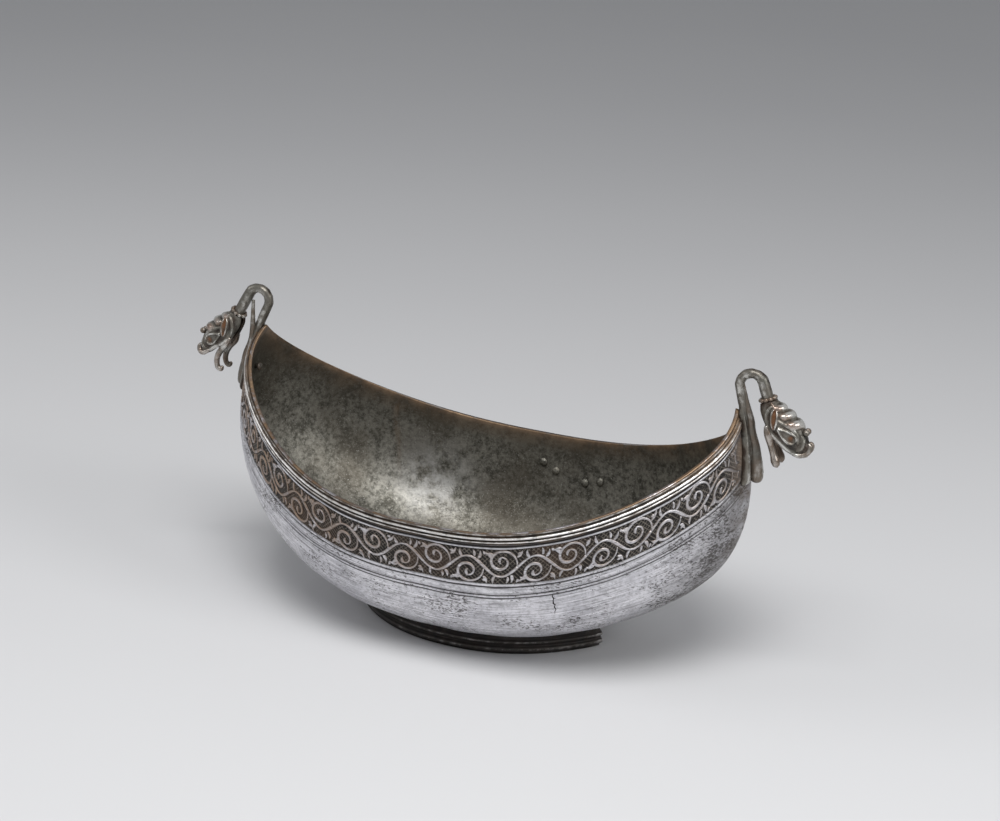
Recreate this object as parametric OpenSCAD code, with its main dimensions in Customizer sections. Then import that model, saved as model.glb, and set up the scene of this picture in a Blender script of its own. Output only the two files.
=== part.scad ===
/* [Bowl] */
// Length of the bowl from rim tip to rim tip
bowl_length = 236; // [180:1:300]
// Width of the bowl across the rim at mid length
bowl_width = 144; // [110:1:190]
// Height of the rim at mid length above the table
rim_height = 72.3; // [60:0.1:95]
// Height of the two rim tips above the table
prow_height = 126; // [110:1:150]
// Height of the underside at the middle of the bowl above the table
keel_height = 7; // [6:0.5:12]
// Thickness of the hammered sheet
wall = 1.6; // [1:0.1:2.5]
// Height of the turn of the bilge amidships above the keel
side_bilge = 9; // [4:0.5:16]
// Height of the turn of the bilge under the prows above the keel
prow_bilge = 16.3; // [10:0.1:24]
// How far the prows swell out under their tips
prow_swell = 17.7; // [8:0.1:26]
// How far the sides lean in below the rim
side_lean = 3; // [0:0.5:8]

/* [Bowl shape factors] */
// Flatness of the bottom across the bowl
cross_flatness = 0.7; // [0.5:0.01:0.8]
// Flatness of the bottom along the bowl
long_flatness = 0.36; // [0.3:0.01:0.5]
// Share by which the rim tips are drawn in
prow_draw_in = 0.126; // [0.08:0.002:0.15]
// Power of the rise of the rim towards the prows
sheer_power = 2.5; // [2:0.1:3]
// Power of the plan outline
plan_power = 2.5; // [2.1:0.1:2.8]
// Sharpness of the plan at the rim, where 1 is a pointed lens
rim_sharpness = 0.96; // [0.8:0.01:1]
// Sharpness of the plan at the keel, where 0.5 is an ellipse
keel_sharpness = 0.42; // [0.36:0.01:0.55]

/* [Rim strips] */
// Height of the moulded strip on the wall
strip_height = 5.2; // [4:0.1:7]
// Thickness of the strip at its beads
strip_bead = 1.25; // [0.9:0.05:1.9]
// Thickness of the strip in its grooves
strip_groove = 0.55; // [0.3:0.05:0.7]

/* [Foot] */
// Length of the foot from tip to tip
foot_length = 127; // [110:1:140]
// Width of the foot at mid length
foot_width = 75; // [64:1:84]
// Width of the flat tread
tread_width = 2; // [1.6:0.1:3]
// Height of the lower bead above the table
foot_low_bead = 2.6; // [2.2:0.1:3]
// Height of the upper bead above the table
foot_high_bead = 6; // [5.4:0.1:6.4]
// Depth of the hollow between the two beads
foot_hollow = 1.4; // [0.8:0.1:1.8]

/* [Hooks] */
// Diameter of the rod
rod_d = 4.3; // [3.4:0.1:5]
// Radius of the hanging loop at the middle of the rod
loop_r = 5.5; // [5:0.1:8]
// Straight length of the rod between the rim tip and the loop
loop_leg = 10.4; // [7:0.1:14]
// Angle that the rod turns through in the loop
loop_turn = 175; // [165:1:185]
// Angle at which the left hook leans in over the bowl
left_lean = 24; // [8:1:30]
// Angle at which the right hook leans in over the bowl
right_lean = 16; // [8:1:30]
// Straight length of the left rod between the loop and the collar
left_neck_leg = 11.6; // [6:0.1:14]
// Straight length of the right rod between the loop and the collar
right_neck_leg = 8.1; // [6:0.1:14]
// Length of the strap down the prow
strap_length = 30.5; // [28:0.5:40]
// Half width of the strap across the prow near its lower end
strap_half_width = 9.6; // [6:0.1:11]
// Thickness of the middle rib of the strap
rib_proud = 6.3; // [5.2:0.1:7]
// Thickness of the two wings of the strap
wing_proud = 2.4; // [1.4:0.1:3]

/* [Dragon heads] */
// Length of the head from the collar to the snout
head_length = 32; // [26:1:38]
// Width of the head at the brow
head_width = 12; // [10:0.5:16]
// Thickness of the cast shell
head_shell = 1.5; // [1.2:0.1:2]
// Depth of the socket for the rod
socket_depth = 5; // [3.5:0.1:6]
// Outer diameter of the beaded collar
collar_d = 8.6; // [7.6:0.1:10]
// Number of beads round the collar
collar_beads = 10; // [6:1:14]

/* [Rivets] */
// Shank diameter of the rivets
rivet_d = 2.2; // [1.6:0.1:2.6]
// Head diameter of the rivets
rivet_head_d = 4.2; // [3.4:0.1:5]
// Head height of the rivets
rivet_head_h = 1.2; // [0.8:0.1:1.6]
// Depth of the strap rivets below the rim tips
strap_rivet_depth = 21; // [14:0.5:24]

/* [Fits] */
// Solder gap between the bowl and what is fixed to it
solder_gap = 0.25; // [0.2:0.05:0.4]
// Clearance round rivet shanks and in the head sockets
fit_clearance = 0.15; // [0.1:0.05:0.3]

/* [Hidden] */
$fn = 48;

// Rings round the bowl and rows from keel to rim
bowl_around = 72;
bowl_rows = 13;
// Stations along a rim strip, a foot strip and a strap
strip_stations = 44;
foot_stations = 36;
strap_stations = 14;
// Length factor that keeps the wall its thickness at the pointed prows
prow_wall_factor = 1.25;
// How sharply the drawing-in of the tips sets in along the rim and up the wall
draw_in_along = 10;
draw_in_up = 4;
// Steps over which the slope of the skin and the height of its top edge are measured
angle_step = 0.2;
share_step = 0.002;
edge_band = 0.05;

half_length = bowl_length/2/(1 - prow_draw_in);
half_width = bowl_width/2;

tin_grey = "#b9b7bd";
worn_copper = "#8a6a50";
dark_bronze = "#6f665c";

// Places of the wall rivets: angle round the plan and share of the way from keel to rim
wall_rivet_places = [[89, 0.905], [86, 0.88], [79, 0.855], [75.5, 0.868]];

function bezier(t, p0, p1, p2, p3) =
    p0*pow(1 - t, 3) + 3*p1*t*pow(1 - t, 2) + 3*p2*t*t*(1 - t) + p3*pow(t, 3);
function unit(v) = v/norm(v);

// The bowl's skin, inset by s from its outside: the two profiles, the plan and the point
function long_run(t, s) =
    let(a = half_length - prow_wall_factor*s)
    bezier(t, 0, long_flatness*a, a + prow_swell, a);
function cross_run(t, s) =
    let(b = half_width - s)
    bezier(t, 0, cross_flatness*b, b - side_lean, b);
function long_rise(t, s) =
    let(k = keel_height + s)
    bezier(t, k, k, k + prow_bilge, prow_height);
function cross_rise(t, s) =
    let(k = keel_height + s)
    bezier(t, k, k, k + side_bilge, rim_height);
function sharpness(t) = keel_sharpness + (rim_sharpness - keel_sharpness)*t;
function skin_at(c, side, t, s) =
    let(plan = pow(max(0, 1 - pow(c, plan_power)), sharpness(t)),
        drawn = 1 - prow_draw_in*pow(t, draw_in_up)*pow(c, draw_in_along),
        rise = pow(c, sheer_power))
    [long_run(t, s)*c*drawn,
     side*cross_run(t, s)*plan,
     cross_rise(t, s)*(1 - rise) + long_rise(t, s)*rise];
function skin(angle, t, s) =
    let(c = cos(angle), p = skin_at(abs(c), sign(sin(angle)), t, s))
    [sign(c)*p[0], p[1], p[2]];
// Outward normal of the skin
function skin_normal(angle, t) =
    let(along = skin(angle + angle_step, t, 0) - skin(angle - angle_step, t, 0),
        up = skin(angle, t + share_step, 0) - skin(angle, t - share_step, 0))
    unit(cross(along, up));

// Triangles between rings of m points; closed rings wrap round
function ring_faces(rings, m) =
    [for (i = [0:rings - 2], j = [0:m - 1], half = [0, 1])
        let(a = i*m + j, b = i*m + (j + 1)%m)
        half == 0 ? [a, b, b + m] : [a, b + m, a + m]];
function reversed(v) = [for (i = [len(v) - 1:-1:0]) v[i]];

// A solid whose sections all have the same number of points
module loft(sections) {
    m = len(sections[0]);
    k = len(sections);
    points = [for (s = sections) each s];
    first_cap = reversed([for (j = [0:m - 1]) j]);
    last_cap = [for (j = [0:m - 1]) (k - 1)*m + j];
    polyhedron(points, concat(ring_faces(k, m), [first_cap, last_cap]));
}

// The bowl
module bowl_shell() {
    n = bowl_around;
    outer = [for (i = [1:bowl_rows], j = [0:n - 1]) skin(360*j/n, i/bowl_rows, 0)];
    inner = [for (i = [bowl_rows:-1:1], j = [0:n - 1]) skin(360*j/n, i/bowl_rows, wall)];
    rings = 2*bowl_rows;
    keel_outside = rings*n;
    keel_inside = keel_outside + 1;
    last = (rings - 1)*n;
    points = concat(outer, inner, [[0, 0, keel_height], [0, 0, keel_height + wall]]);
    bottom_fan = [for (j = [0:n - 1]) [keel_outside, (j + 1)%n, j]];
    inside_fan = [for (j = [0:n - 1]) [keel_inside, last + j, last + (j + 1)%n]];
    polyhedron(points, [for (f = concat(ring_faces(rings, n), bottom_fan, inside_fan)) reversed(f)]);
}

module bowl() {
    color(tin_grey)
    difference() {
        bowl_shell();
        for (place = wall_rivet_places)
            at_wall(place) rivet_hole(3*wall);
        for (side = [0, 1])
            mirror([side, 0, 0]) strap_rivet_hole();
    }
}

// The rim strips
// A point on the wall, d below the rim along the wall and n proud of it
function rim_point(angle, d, n) =
    let(run = norm(skin(angle, 1, 0) - skin(angle, 1 - edge_band, 0))/edge_band)
    skin(angle, 1 - d/run, -n);
// Profile of the strip: share of its height, and 1 on a bead or 0 in a groove
strip_profile = [[0, 0.5], [0.06, 0.7], [0.16, 0.5], [0.24, 0], [0.31, 0], [0.39, 1], [0.53, 1],
                 [0.61, 0.3], [0.68, 0.7], [0.78, 0.7], [0.86, 0], [0.96, 0]];
strip_lower_edge = 0.2;
function strip_section() =
    let(h = strip_height, g = solder_gap)
    concat([[0, g]],
           [for (q = strip_profile) [q[0]*h, g + strip_groove + q[1]*(strip_bead - strip_groove)]],
           [[h, g + strip_lower_edge], [h, g], [h/2, g]]);
// Angle round the plan at which the rim is clear of the hook's rod
function strip_start() =
    let(clear_y = rod_d/2 + 3*solder_gap + strip_bead,
        c = pow(1 - pow(clear_y/half_width, 1/rim_sharpness), 1/plan_power))
    acos(c);

module rim_strip(from_angle) {
    start = from_angle + strip_start();
    step = (180 - 2*strip_start())/(strip_stations - 1);
    loft([for (i = [0:strip_stations - 1])
        [for (q = reversed(strip_section())) rim_point(start + i*step, q[0], q[1])]]);
}

module rim_strip_front() {
    color(worn_copper) rim_strip(180);
}

module rim_strip_back() {
    color(worn_copper) rim_strip(0);
}

// The foot
foot_plan_power = 2.23;
foot_sharpness = 0.9;
mitre_gap = 0.1;
// Share of the way from keel to rim at which the foot's top meets the hull, at the sides and tips
foot_seat_side = 0.26;
foot_seat_tip = 0.33;
foot_seat_band = 0.05;
// How far the tread and the upper bead stand back from the lower bead, and half the height of a bead
tread_back = 1.6;
high_bead_back = 0.4;
bead_half = 0.7;
// How far the waist lies above the upper bead, and how far the inner face leans in
waist_rise = 1.2;
inner_lean = 1.8;

function foot_point(angle, inset, z) =
    let(c = cos(angle), plan = pow(max(0, 1 - pow(abs(c), foot_plan_power)), foot_sharpness))
    [(foot_length/2 - inset)*c, sign(sin(angle))*(foot_width/2 - inset)*plan, z];
function foot_seat(angle, back) =
    let(share = foot_seat_side + (foot_seat_tip - foot_seat_side)*pow(cos(angle), 2),
        p = skin(angle, share - back, 0))
    p - [0, 0, solder_gap];
function foot_section(angle) =
    let(seat = foot_seat(angle, 0), inner_seat = foot_seat(angle, foot_seat_band),
        waist = (foot_point(angle, foot_hollow, foot_high_bead + waist_rise) + seat)/2)
    [foot_point(angle, tread_width + tread_back, 0),
     foot_point(angle, tread_back, 0),
     foot_point(angle, 0, foot_low_bead - bead_half),
     foot_point(angle, 0, foot_low_bead + bead_half),
     foot_point(angle, foot_hollow, (foot_low_bead + foot_high_bead)/2),
     foot_point(angle, high_bead_back, foot_high_bead - bead_half),
     foot_point(angle, high_bead_back, foot_high_bead + bead_half),
     waist,
     seat,
     inner_seat,
     foot_point(angle, tread_width + tread_back + inner_lean, foot_high_bead)];

module foot_strip(from_angle) {
    sections = [for (i = [0:foot_stations]) foot_section(from_angle + 180*i/foot_stations)];
    loft([for (s = sections) reversed(s)]);
}

module foot_front() {
    color(dark_bronze) translate([0, -mitre_gap, 0]) foot_strip(180);
}

module foot_back() {
    color(dark_bronze) translate([0, mitre_gap, 0]) foot_strip(0);
}

// The hooks
// A point of the right prow at the distance y from the stem, pushed out by n
function prow_point(y, t) =
    let(share = pow(abs(y)/cross_run(t, 0), 1/sharpness(t)),
        c = pow(1 - share, 1/plan_power))
    skin_at(c, sign(y), t, 0);
function prow_out(y, t, n) =
    let(e = 0.05,
        slope = (prow_point(y + e, t)[0] - prow_point(y - e, t)[0])/(2*e))
    prow_point(y, t) + n*unit([1, -slope, 0]);

stem_span = 0.13;
stem_run = norm(prow_point(0, 1) - prow_point(0, 1 - stem_span))/stem_span;
function stem_share(depth) = 1 - depth/stem_run;
rim_tip = prow_point(0, 1);
// The strap, from its lower end at u = 0 to the rod at u = 1: round below, then tapering upwards
strap_round = 0.16;
// How far the rounding of the lower end goes in width and in thickness
width_round = 0.92;
thickness_round = 0.8;
// How much the rib widens downwards, and the least size of the strap's edge and of a wing
rib_spread = 0.5;
strap_edge = 0.3;
least_wing = 0.1;
// Points over half the strap, and how strongly they crowd towards its edges
strap_points = 7;
crowding = 0.6;
function rounded(u, share) = u < strap_round ? sqrt(1 - share*pow(1 - u/strap_round, 2)) : 1;
function strap_half(u) =
    (strap_half_width + (rod_d/2 - strap_half_width)*u)*rounded(u, width_round);
function rib_thick(u) = rod_d + (rib_proud - rod_d)*cos(90*u);
function strap_thick(y, half, u) =
    let(rib_half = rod_d/2 + rib_spread*(1 - u),
        rib = rib_thick(u)*sqrt(max(0, 1 - pow(y/rib_half, 2))),
        wing_mid = (half + rib_half)/2,
        wing_half = max(least_wing, (half - rib_half)/2),
        wing = wing_proud*sqrt(max(0, 1 - pow((abs(y) - wing_mid)/wing_half, 2))))
    rounded(u, thickness_round)*max(rib, wing, strap_edge);
function strap_y(j, half) =
    half*(crowding*sin(90*j/strap_points) + (1 - crowding)*j/strap_points);
function strap_section(u) =
    let(t = stem_share(strap_length*(1 - u)), half = strap_half(u), n = strap_points,
        ys = [for (j = [-n:n]) strap_y(j, half)],
        back_ys = [for (j = [n - 1:-1:1 - n]) strap_y(j, half)])
    concat([for (y = ys) prow_out(y, t, solder_gap + strap_thick(y, half, u))],
           [for (y = back_ys) prow_out(y, t, solder_gap)]);

// The rod of a hook that leans in by an angle, in the plane of the stem: up the leg, round the loop
// and down the neck
loop_foot = rim_tip + [solder_gap + rod_d/2, 0, 0];
function leg_way(lean) = [-sin(lean), 0, cos(lean)];
function loop_centre(lean) = loop_foot + loop_leg*leg_way(lean) + loop_r*[cos(lean), 0, sin(lean)];
function loop_angle(lean, share) = 180 + lean - share*loop_turn;
function loop_point(lean, share) =
    let(a = loop_angle(lean, share)) loop_centre(lean) + loop_r*[cos(a), 0, sin(a)];
function loop_way(lean, share) =
    let(a = loop_angle(lean, share)) [sin(a), 0, -cos(a)];
function neck_end(lean, leg) = loop_point(lean, 1) + leg*loop_way(lean, 1);

// Round sections of the rod across a direction in the plane of the stem
function rod_section(p, way) =
    let(n = strap_points, r = rod_d/2, out = [way[2], 0, -way[0]],
        angles = concat([for (j = [-n:n]) 90*j/n], [for (j = [n - 1:-1:1 - n]) 180 - 90*j/n]))
    [for (a = angles) p + r*(out*cos(a) + [0, sin(a), 0])];
loop_steps = 16;
leg_shares = [0.25, 0.6];
function rod_sections(lean, leg) = concat(
    [for (k = leg_shares) rod_section(loop_foot + k*loop_leg*leg_way(lean), leg_way(lean))],
    [for (i = [0:loop_steps]) rod_section(loop_point(lean, i/loop_steps), loop_way(lean, i/loop_steps))],
    [rod_section(neck_end(lean, leg + socket_depth - fit_clearance), loop_way(lean, 1))]);

module hook(lean, leg) {
    strap_sections = [for (i = [0:strap_stations]) strap_section(i/strap_stations)];
    color(dark_bronze)
    difference() {
        loft([for (s = concat(strap_sections, rod_sections(lean, leg))) reversed(s)]);
        strap_rivet_hole();
    }
}

module right_hook() {
    hook(right_lean, right_neck_leg);
}

module left_hook() {
    mirror([1, 0, 0]) hook(left_lean, left_neck_leg);
}

// The collars: a ring of beads that swells and narrows round the rod
collar_sides = 8;
bead_steps = 6;
// Thickness between two beads as a share of a bead
bead_waist = 0.6;
// Radius of the bores that pass the rod through the collar and into the head
bore_r = rod_d/2 + 2*fit_clearance;
function collar_section(turn) =
    let(swell = abs(sin(turn*collar_beads/2)),
        full = (collar_d/2 - bore_r)/2,
        r = full*(bead_waist + (1 - bead_waist)*sqrt(swell)))
    [for (j = [0:collar_sides - 1])
        let(a = 360*j/collar_sides, out = bore_r + r + r*cos(a))
        [out*cos(turn), out*sin(turn), r*sin(a)]];

module collar(lean, leg) {
    way = loop_way(lean, 1);
    around = collar_beads*bead_steps;
    points = [for (i = [0:around - 1]) each collar_section(360*i/around)];
    wrap = around*collar_sides;
    faces = [for (f = ring_faces(around + 1, collar_sides)) [for (v = reversed(f)) v%wrap]];
    color(worn_copper)
    translate(neck_end(lean, leg - (collar_d - rod_d)/4))
    rotate([0, atan2(way[0], way[2]), 0])
    polyhedron(points, faces);
}

module right_collar() {
    collar(right_lean, right_neck_leg);
}

module left_collar() {
    mirror([1, 0, 0]) collar(left_lean, left_neck_leg);
}

// The rivets
// Size of the flat peened end on the outside of the wall
peen_d = 3.4;
peen_h = 0.5;
// How far a shank runs up into its head
shank_lap = 0.25;

module at_wall(place) {
    p = skin(place[0], place[1], wall);
    n = -skin_normal(place[0], place[1]);
    translate(p) rotate([0, acos(n[2]), atan2(n[1], n[0])]) children();
}

module at_strap_rivet() {
    translate(prow_point(0, stem_share(strap_rivet_depth))) rotate([0, -90, 0]) children();
}

module strap_rivet_hole() {
    at_strap_rivet() rivet_hole(6*wall);
}

module rivet_hole(length) {
    translate([0, 0, -length]) cylinder(d = rivet_d + 2*fit_clearance, h = 2*length);
}

// A low dome on the plane z = 0
module rivet_head() {
    dome_r = (pow(rivet_head_d/2, 2) + pow(rivet_head_h, 2))/(2*rivet_head_h);
    rotate_extrude()
    intersection() {
        translate([0, rivet_head_h - dome_r]) circle(r = dome_r);
        square([rivet_head_d/2, rivet_head_h]);
    }
}

module wall_rivet() {
    outside = wall + solder_gap + peen_h;
    translate([0, 0, solder_gap]) rivet_head();
    translate([0, 0, -outside]) cylinder(d = rivet_d, h = outside + solder_gap + shank_lap);
    translate([0, 0, -outside]) cylinder(d = peen_d, h = peen_h);
}

module wall_rivets() {
    color(tin_grey) for (place = wall_rivet_places) at_wall(place) wall_rivet();
}

module strap_rivet() {
    seat = wall*prow_wall_factor + rivet_head_d/2;
    outside = solder_gap + rib_thick(1 - strap_rivet_depth/strap_length);
    color(dark_bronze)
    at_strap_rivet() {
        translate([0, 0, seat]) rivet_head();
        translate([0, 0, -outside]) cylinder(d = rivet_d, h = outside + seat + shank_lap);
    }
}

module right_strap_rivet() {
    strap_rivet();
}

module left_strap_rivet() {
    mirror([1, 0, 0]) strap_rivet();
}

// The dragon heads
// Sections of the head behind the neck, for a head of the drawn size: the point on the crest, the
// point on the throat, both out and up from the end of the neck, and the half width
drawn_length = 32;
drawn_width = 12;
head_sections = [
    [[5.2, -1], [-2.6, -6.2], 4.6],
    [[9.4, -3.4], [0.6, -12.8], 6],
    [[14, -7], [4.8, -17], 5.8],
    [[17.8, -10.6], [9.6, -20.4], 4.8],
    [[20.4, -13.4], [14.2, -22.4], 3.8],
    [[22.2, -16], [18.6, -22.6], 2.8],
    [[22.8, -18.2], [21.4, -21], 1.3]];
// Middle line of a lower jaw, out and up from the end of the neck, with its radius
jaw_line = [[0.8, -11.5, 1.5], [2.4, -16.5, 1.7], [4.2, -22, 1.5], [6, -26.4, 1.3], [8.4, -27.8, 1.3],
            [10, -26.4, 0.8]];
jaw_apart = 4;
ear_line = [[2.6, -2.6, 0.3], [3.2, -5, 1.6], [3.9, -8, 2], [4.4, -10.6, 1.4], [4.4, -12.4, 0.3]];
ear_apart = 5.2;
ear_flatness = 0.6;
eye_at = [10.8, -12.6];
eye_r = 2.6;
eye_apart = 4.4;
nostril_at = [19, -10.8];
nostril_r = 1.5;
nostril_apart = 2;
// Points over half a section of the open shell, and the angle at which it stops short of the throat
shell_points = 7;
shell_stop = 148;
// Least share of a section that is hollow towards the snout
least_hollow = 0.3;
limb_sides = 8;

head_scale = head_length/drawn_length;
side_scale = head_width/drawn_width;
function head_point(p, y) = [p[0]*head_scale, y*side_scale, p[1]*head_scale];
// One section of the open shell about its middle: up towards the crest, tall and wide, never with
// a hollow narrower than least
function shell_ring(mid, up, tall, wide) =
    let(n = shell_points,
        hollow_tall = max(least_hollow*tall, tall - head_shell),
        hollow_wide = max(least_hollow*wide, wide - head_shell))
    concat([for (j = [-n:n])
                let(a = shell_stop*j/n) mid + up*tall*cos(a) + [0, wide*sin(a), 0]],
           [for (j = [n:-1:-n])
                let(a = shell_stop*j/n) mid + up*hollow_tall*cos(a) + [0, hollow_wide*sin(a), 0]]);
// The socket that is square to the rod, and a section of the head itself
function socket_ring(way) =
    let(r = bore_r + head_shell) shell_ring([0, 0, 0], [-way[2], 0, way[0]], r, r);
function head_ring(s) =
    let(up = unit([s[0][0] - s[1][0], 0, s[0][1] - s[1][1]]), least = bore_r + head_shell,
        from_neck = norm(s[1])*head_scale < 2*socket_depth,
        tall = norm(s[0] - s[1])/2*head_scale,
        wide = s[2]*side_scale)
    shell_ring(head_point((s[0] + s[1])/2, 0), up,
               from_neck ? max(tall, least) : tall, from_neck ? max(wide, least) : wide);
// A tapering limb along a line of places with radii, flattened across by a factor
module limb(line, y, across) {
    n = len(line);
    loft([for (i = [0:n - 1])
        let(before = line[max(0, i - 1)], after = line[min(n - 1, i + 1)],
            way = unit([after[0] - before[0], after[1] - before[1]]),
            side = [-way[1], way[0]], here = [line[i][0], line[i][1]], r = line[i][2])
        [for (j = [0:limb_sides - 1])
            let(a = 360*j/limb_sides)
            head_point(here + side*r*cos(a), y + across*r*sin(a))]]);
}

module dragon_head(lean, leg) {
    color(dark_bronze)
    translate(neck_end(lean, leg)) {
        loft(concat([socket_ring(loop_way(lean, 1))], [for (s = head_sections) head_ring(s)]));
        for (y = [-1, 1]) {
            limb(jaw_line, y*jaw_apart, 1);
            limb(ear_line, y*ear_apart, ear_flatness);
            translate(head_point(eye_at, y*eye_apart)) sphere(r = eye_r);
            translate(head_point(nostril_at, y*nostril_apart)) sphere(r = nostril_r);
        }
    }
}

module right_dragon_head() {
    dragon_head(right_lean, right_neck_leg);
}

module left_dragon_head() {
    mirror([1, 0, 0]) dragon_head(left_lean, left_neck_leg);
}

bowl();
rim_strip_front();
rim_strip_back();
foot_front();
foot_back();
left_hook();
right_hook();
left_collar();
right_collar();
left_dragon_head();
right_dragon_head();
left_strap_rivet();
right_strap_rivet();
wall_rivets();
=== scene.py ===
# %% [markdown]
# A kashkul is the boat-shaped bowl that a wandering dervish carried. This one is raised from
# one sheet of copper, engraved round the rim and tinned. Strips stiffen its rim, a moulded foot carries
# it, and a forged hook at each prow ends in a cast dragon's head.
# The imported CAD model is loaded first: it fixes the frame and the size. Every piece made here takes the
# place of one CAD node, so the lesson repeats the maker's formulas and adds what a photo shows.

# %% The frame and the box of the CAD model
from types import SimpleNamespace
import bpy
import numpy as np
from mathutils import Matrix


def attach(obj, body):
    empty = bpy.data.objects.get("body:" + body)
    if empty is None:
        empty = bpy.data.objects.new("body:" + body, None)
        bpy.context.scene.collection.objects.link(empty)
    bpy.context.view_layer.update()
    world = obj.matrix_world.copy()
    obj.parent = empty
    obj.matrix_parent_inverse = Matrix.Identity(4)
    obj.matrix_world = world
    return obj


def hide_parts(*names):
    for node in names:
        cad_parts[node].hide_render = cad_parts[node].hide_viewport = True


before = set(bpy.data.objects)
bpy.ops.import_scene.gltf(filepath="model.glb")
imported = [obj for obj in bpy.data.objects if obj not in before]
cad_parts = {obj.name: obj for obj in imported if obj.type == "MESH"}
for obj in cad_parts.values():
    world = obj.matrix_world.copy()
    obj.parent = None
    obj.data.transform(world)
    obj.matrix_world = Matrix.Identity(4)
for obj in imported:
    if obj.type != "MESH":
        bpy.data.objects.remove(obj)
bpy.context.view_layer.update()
MM = 0.001

# %% [markdown]
# All pieces are rings of points worked out with numpy. One function numbers the faces between rings, and
# one puts the points into a mesh, with smooth shading and any fields that the finish reads: a field is
# a number per point, such as how deep the point lies in the engraving.

# %% Solids from rings of points
def ring_quads(count, size):
    """Quads between neighbouring rings, for points that are numbered ring by ring."""
    i = np.arange(count - 1)[:, None]*size
    j = np.arange(size)
    k = (j + 1) % size
    return np.stack([i + j, i + k, i + size + k, i + size + j], -1).reshape(-1, 4)


def facing_out(points, faces):
    """The faces turned so that the solid's volume, summed over fans of triangles, is positive."""
    volume = 0.0
    for size in {len(f) for f in faces}:
        f = np.array([g for g in faces if len(g) == size])
        for k in range(1, size - 1):
            a, b, c = points[f[:, 0]], points[f[:, k]], points[f[:, k + 1]]
            volume += (a*np.cross(b, c)).sum()
    return faces if volume > 0 else [list(f)[::-1] for f in faces]


def loft(rings):
    """Points and faces of a closed solid through rings of equal length; its two ends are capped."""
    count, size = rings.shape[:2]
    points = rings.reshape(-1, 3)
    caps = [list(range(size))[::-1], list(range((count - 1)*size, count*size))]
    return points, facing_out(points, ring_quads(count, size).tolist() + caps)


def joined(solids):
    """Several (points, faces) solids as one, with the numbers of the later points moved up."""
    starts = np.cumsum([0] + [len(p) for p, f in solids])
    faces = [[v + int(s) for v in face] for (p, f), s in zip(solids, starts) for face in f]
    return np.concatenate([p for p, f in solids]), faces


# %% Pieces from solids
def make_piece(name, points, faces, finish, nodes, fields, band=None):
    """A piece of the object from points in millimetres, with its finish, fields and CAD nodes; a field is
    a value per point or one value for all, and band is a flat place per point."""
    mesh = bpy.data.meshes.new(name)
    mesh.from_pydata((points*MM).tolist(), [], facing_out(points, faces))
    mesh.polygons.foreach_set("use_smooth", np.ones(len(mesh.polygons), bool))
    for field, values in fields.items():
        values = np.broadcast_to(np.ravel(values), len(points))
        layer = mesh.attributes.new(field, "FLOAT", "POINT")
        layer.data.foreach_set("value", np.ascontiguousarray(values, np.float32))
    if band is not None:
        corners = np.empty(len(mesh.loops), np.int32)
        mesh.loops.foreach_get("vertex_index", corners)
        layer = mesh.uv_layers.new(name="band")
        layer.data.foreach_set("uv", band[corners].ravel().astype(np.float32))
    mesh.materials.append(finish)
    mesh.update()
    piece = bpy.data.objects.new(name, mesh)
    bpy.context.collection.objects.link(piece)
    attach(piece, "root")
    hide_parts(*nodes)
    triangles = sum(len(f) - 2 for f in faces)
    print(name, "has", triangles, "triangles")


# %% [markdown]
# The bowl's form is one formula. Two profiles run from keel to rim: one along the bowl, which swells
# under the prow, and one across it. A plan that is round at the keel and pointed at the rim blends
# between them. The same formula with a small inset gives the inner wall, and with a negative inset it
# gives everything that is soldered on outside.

# %% The skin of the bowl
bowl_length, bowl_width, rim_height, prow_height, keel_height = 236.0, 144.0, 72.3, 126.0, 7.0
wall = 1.6
side_bilge, prow_bilge, prow_swell, side_lean = 9.0, 16.3, 17.7, 3.0
cross_flatness, long_flatness = 0.7, 0.36
prow_draw_in, draw_in_along, draw_in_up = 0.126, 10, 4
sheer_power, plan_power = 2.5, 2.5
rim_sharpness, keel_sharpness = 0.96, 0.42
prow_wall_factor = 1.25
solder_gap = 0.25
half_length = bowl_length/2/(1 - prow_draw_in)
half_width = bowl_width/2


def bezier(t, p0, p1, p2, p3):
    """A cubic curve from p0 to p3 that is drawn towards p1 and p2."""
    return p0*(1 - t)**3 + 3*p1*t*(1 - t)**2 + 3*p2*t*t*(1 - t) + p3*t**3


def cross_run(t, inset):
    """Half width of the middle cross-section at the share t of the way from keel to rim."""
    b = half_width - inset
    return bezier(t, 0, cross_flatness*b, b - side_lean, b)


def sharpness(t):
    """Power of the plan, from round at the keel to pointed at the rim."""
    return keel_sharpness + (rim_sharpness - keel_sharpness)*t


def skin_at(c, side, t, inset):
    """Point at the cosine c of the angle round the plan: along run times c, across run times the plan,
    and the two rises mixed by a power of c."""
    a = half_length - prow_wall_factor*inset
    k = keel_height + inset
    along = bezier(t, 0, long_flatness*a, a + prow_swell, a)
    prow_rise = bezier(t, k, k, k + prow_bilge, prow_height)
    side_rise = bezier(t, k, k, k + side_bilge, rim_height)
    plan = np.maximum(0, 1 - np.abs(c)**plan_power)**sharpness(t)
    drawn = 1 - prow_draw_in*t**draw_in_up*np.abs(c)**draw_in_along
    rise = np.abs(c)**sheer_power
    return np.stack(np.broadcast_arrays(along*c*drawn, side*cross_run(t, inset)*plan,
                                        side_rise*(1 - rise) + prow_rise*rise), -1)


def skin(angle, t, inset):
    """The same point at an angle round the plan, counted from the right prow over the back."""
    return skin_at(np.cos(angle), np.sign(np.sin(angle)), t, inset)


print("the rim is", bowl_length, "mm from tip to tip and", bowl_width, "mm wide")

# %% [markdown]
# The engraver set out the bands with dividers that ran along the rim, so each band keeps its distance
# from the edge. To do the same, the rim's length is measured along one side, and the way down the wall
# is measured at many places and turned round into a table: which share t lies d millimetres below the
# rim, u millimetres along it.

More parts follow.
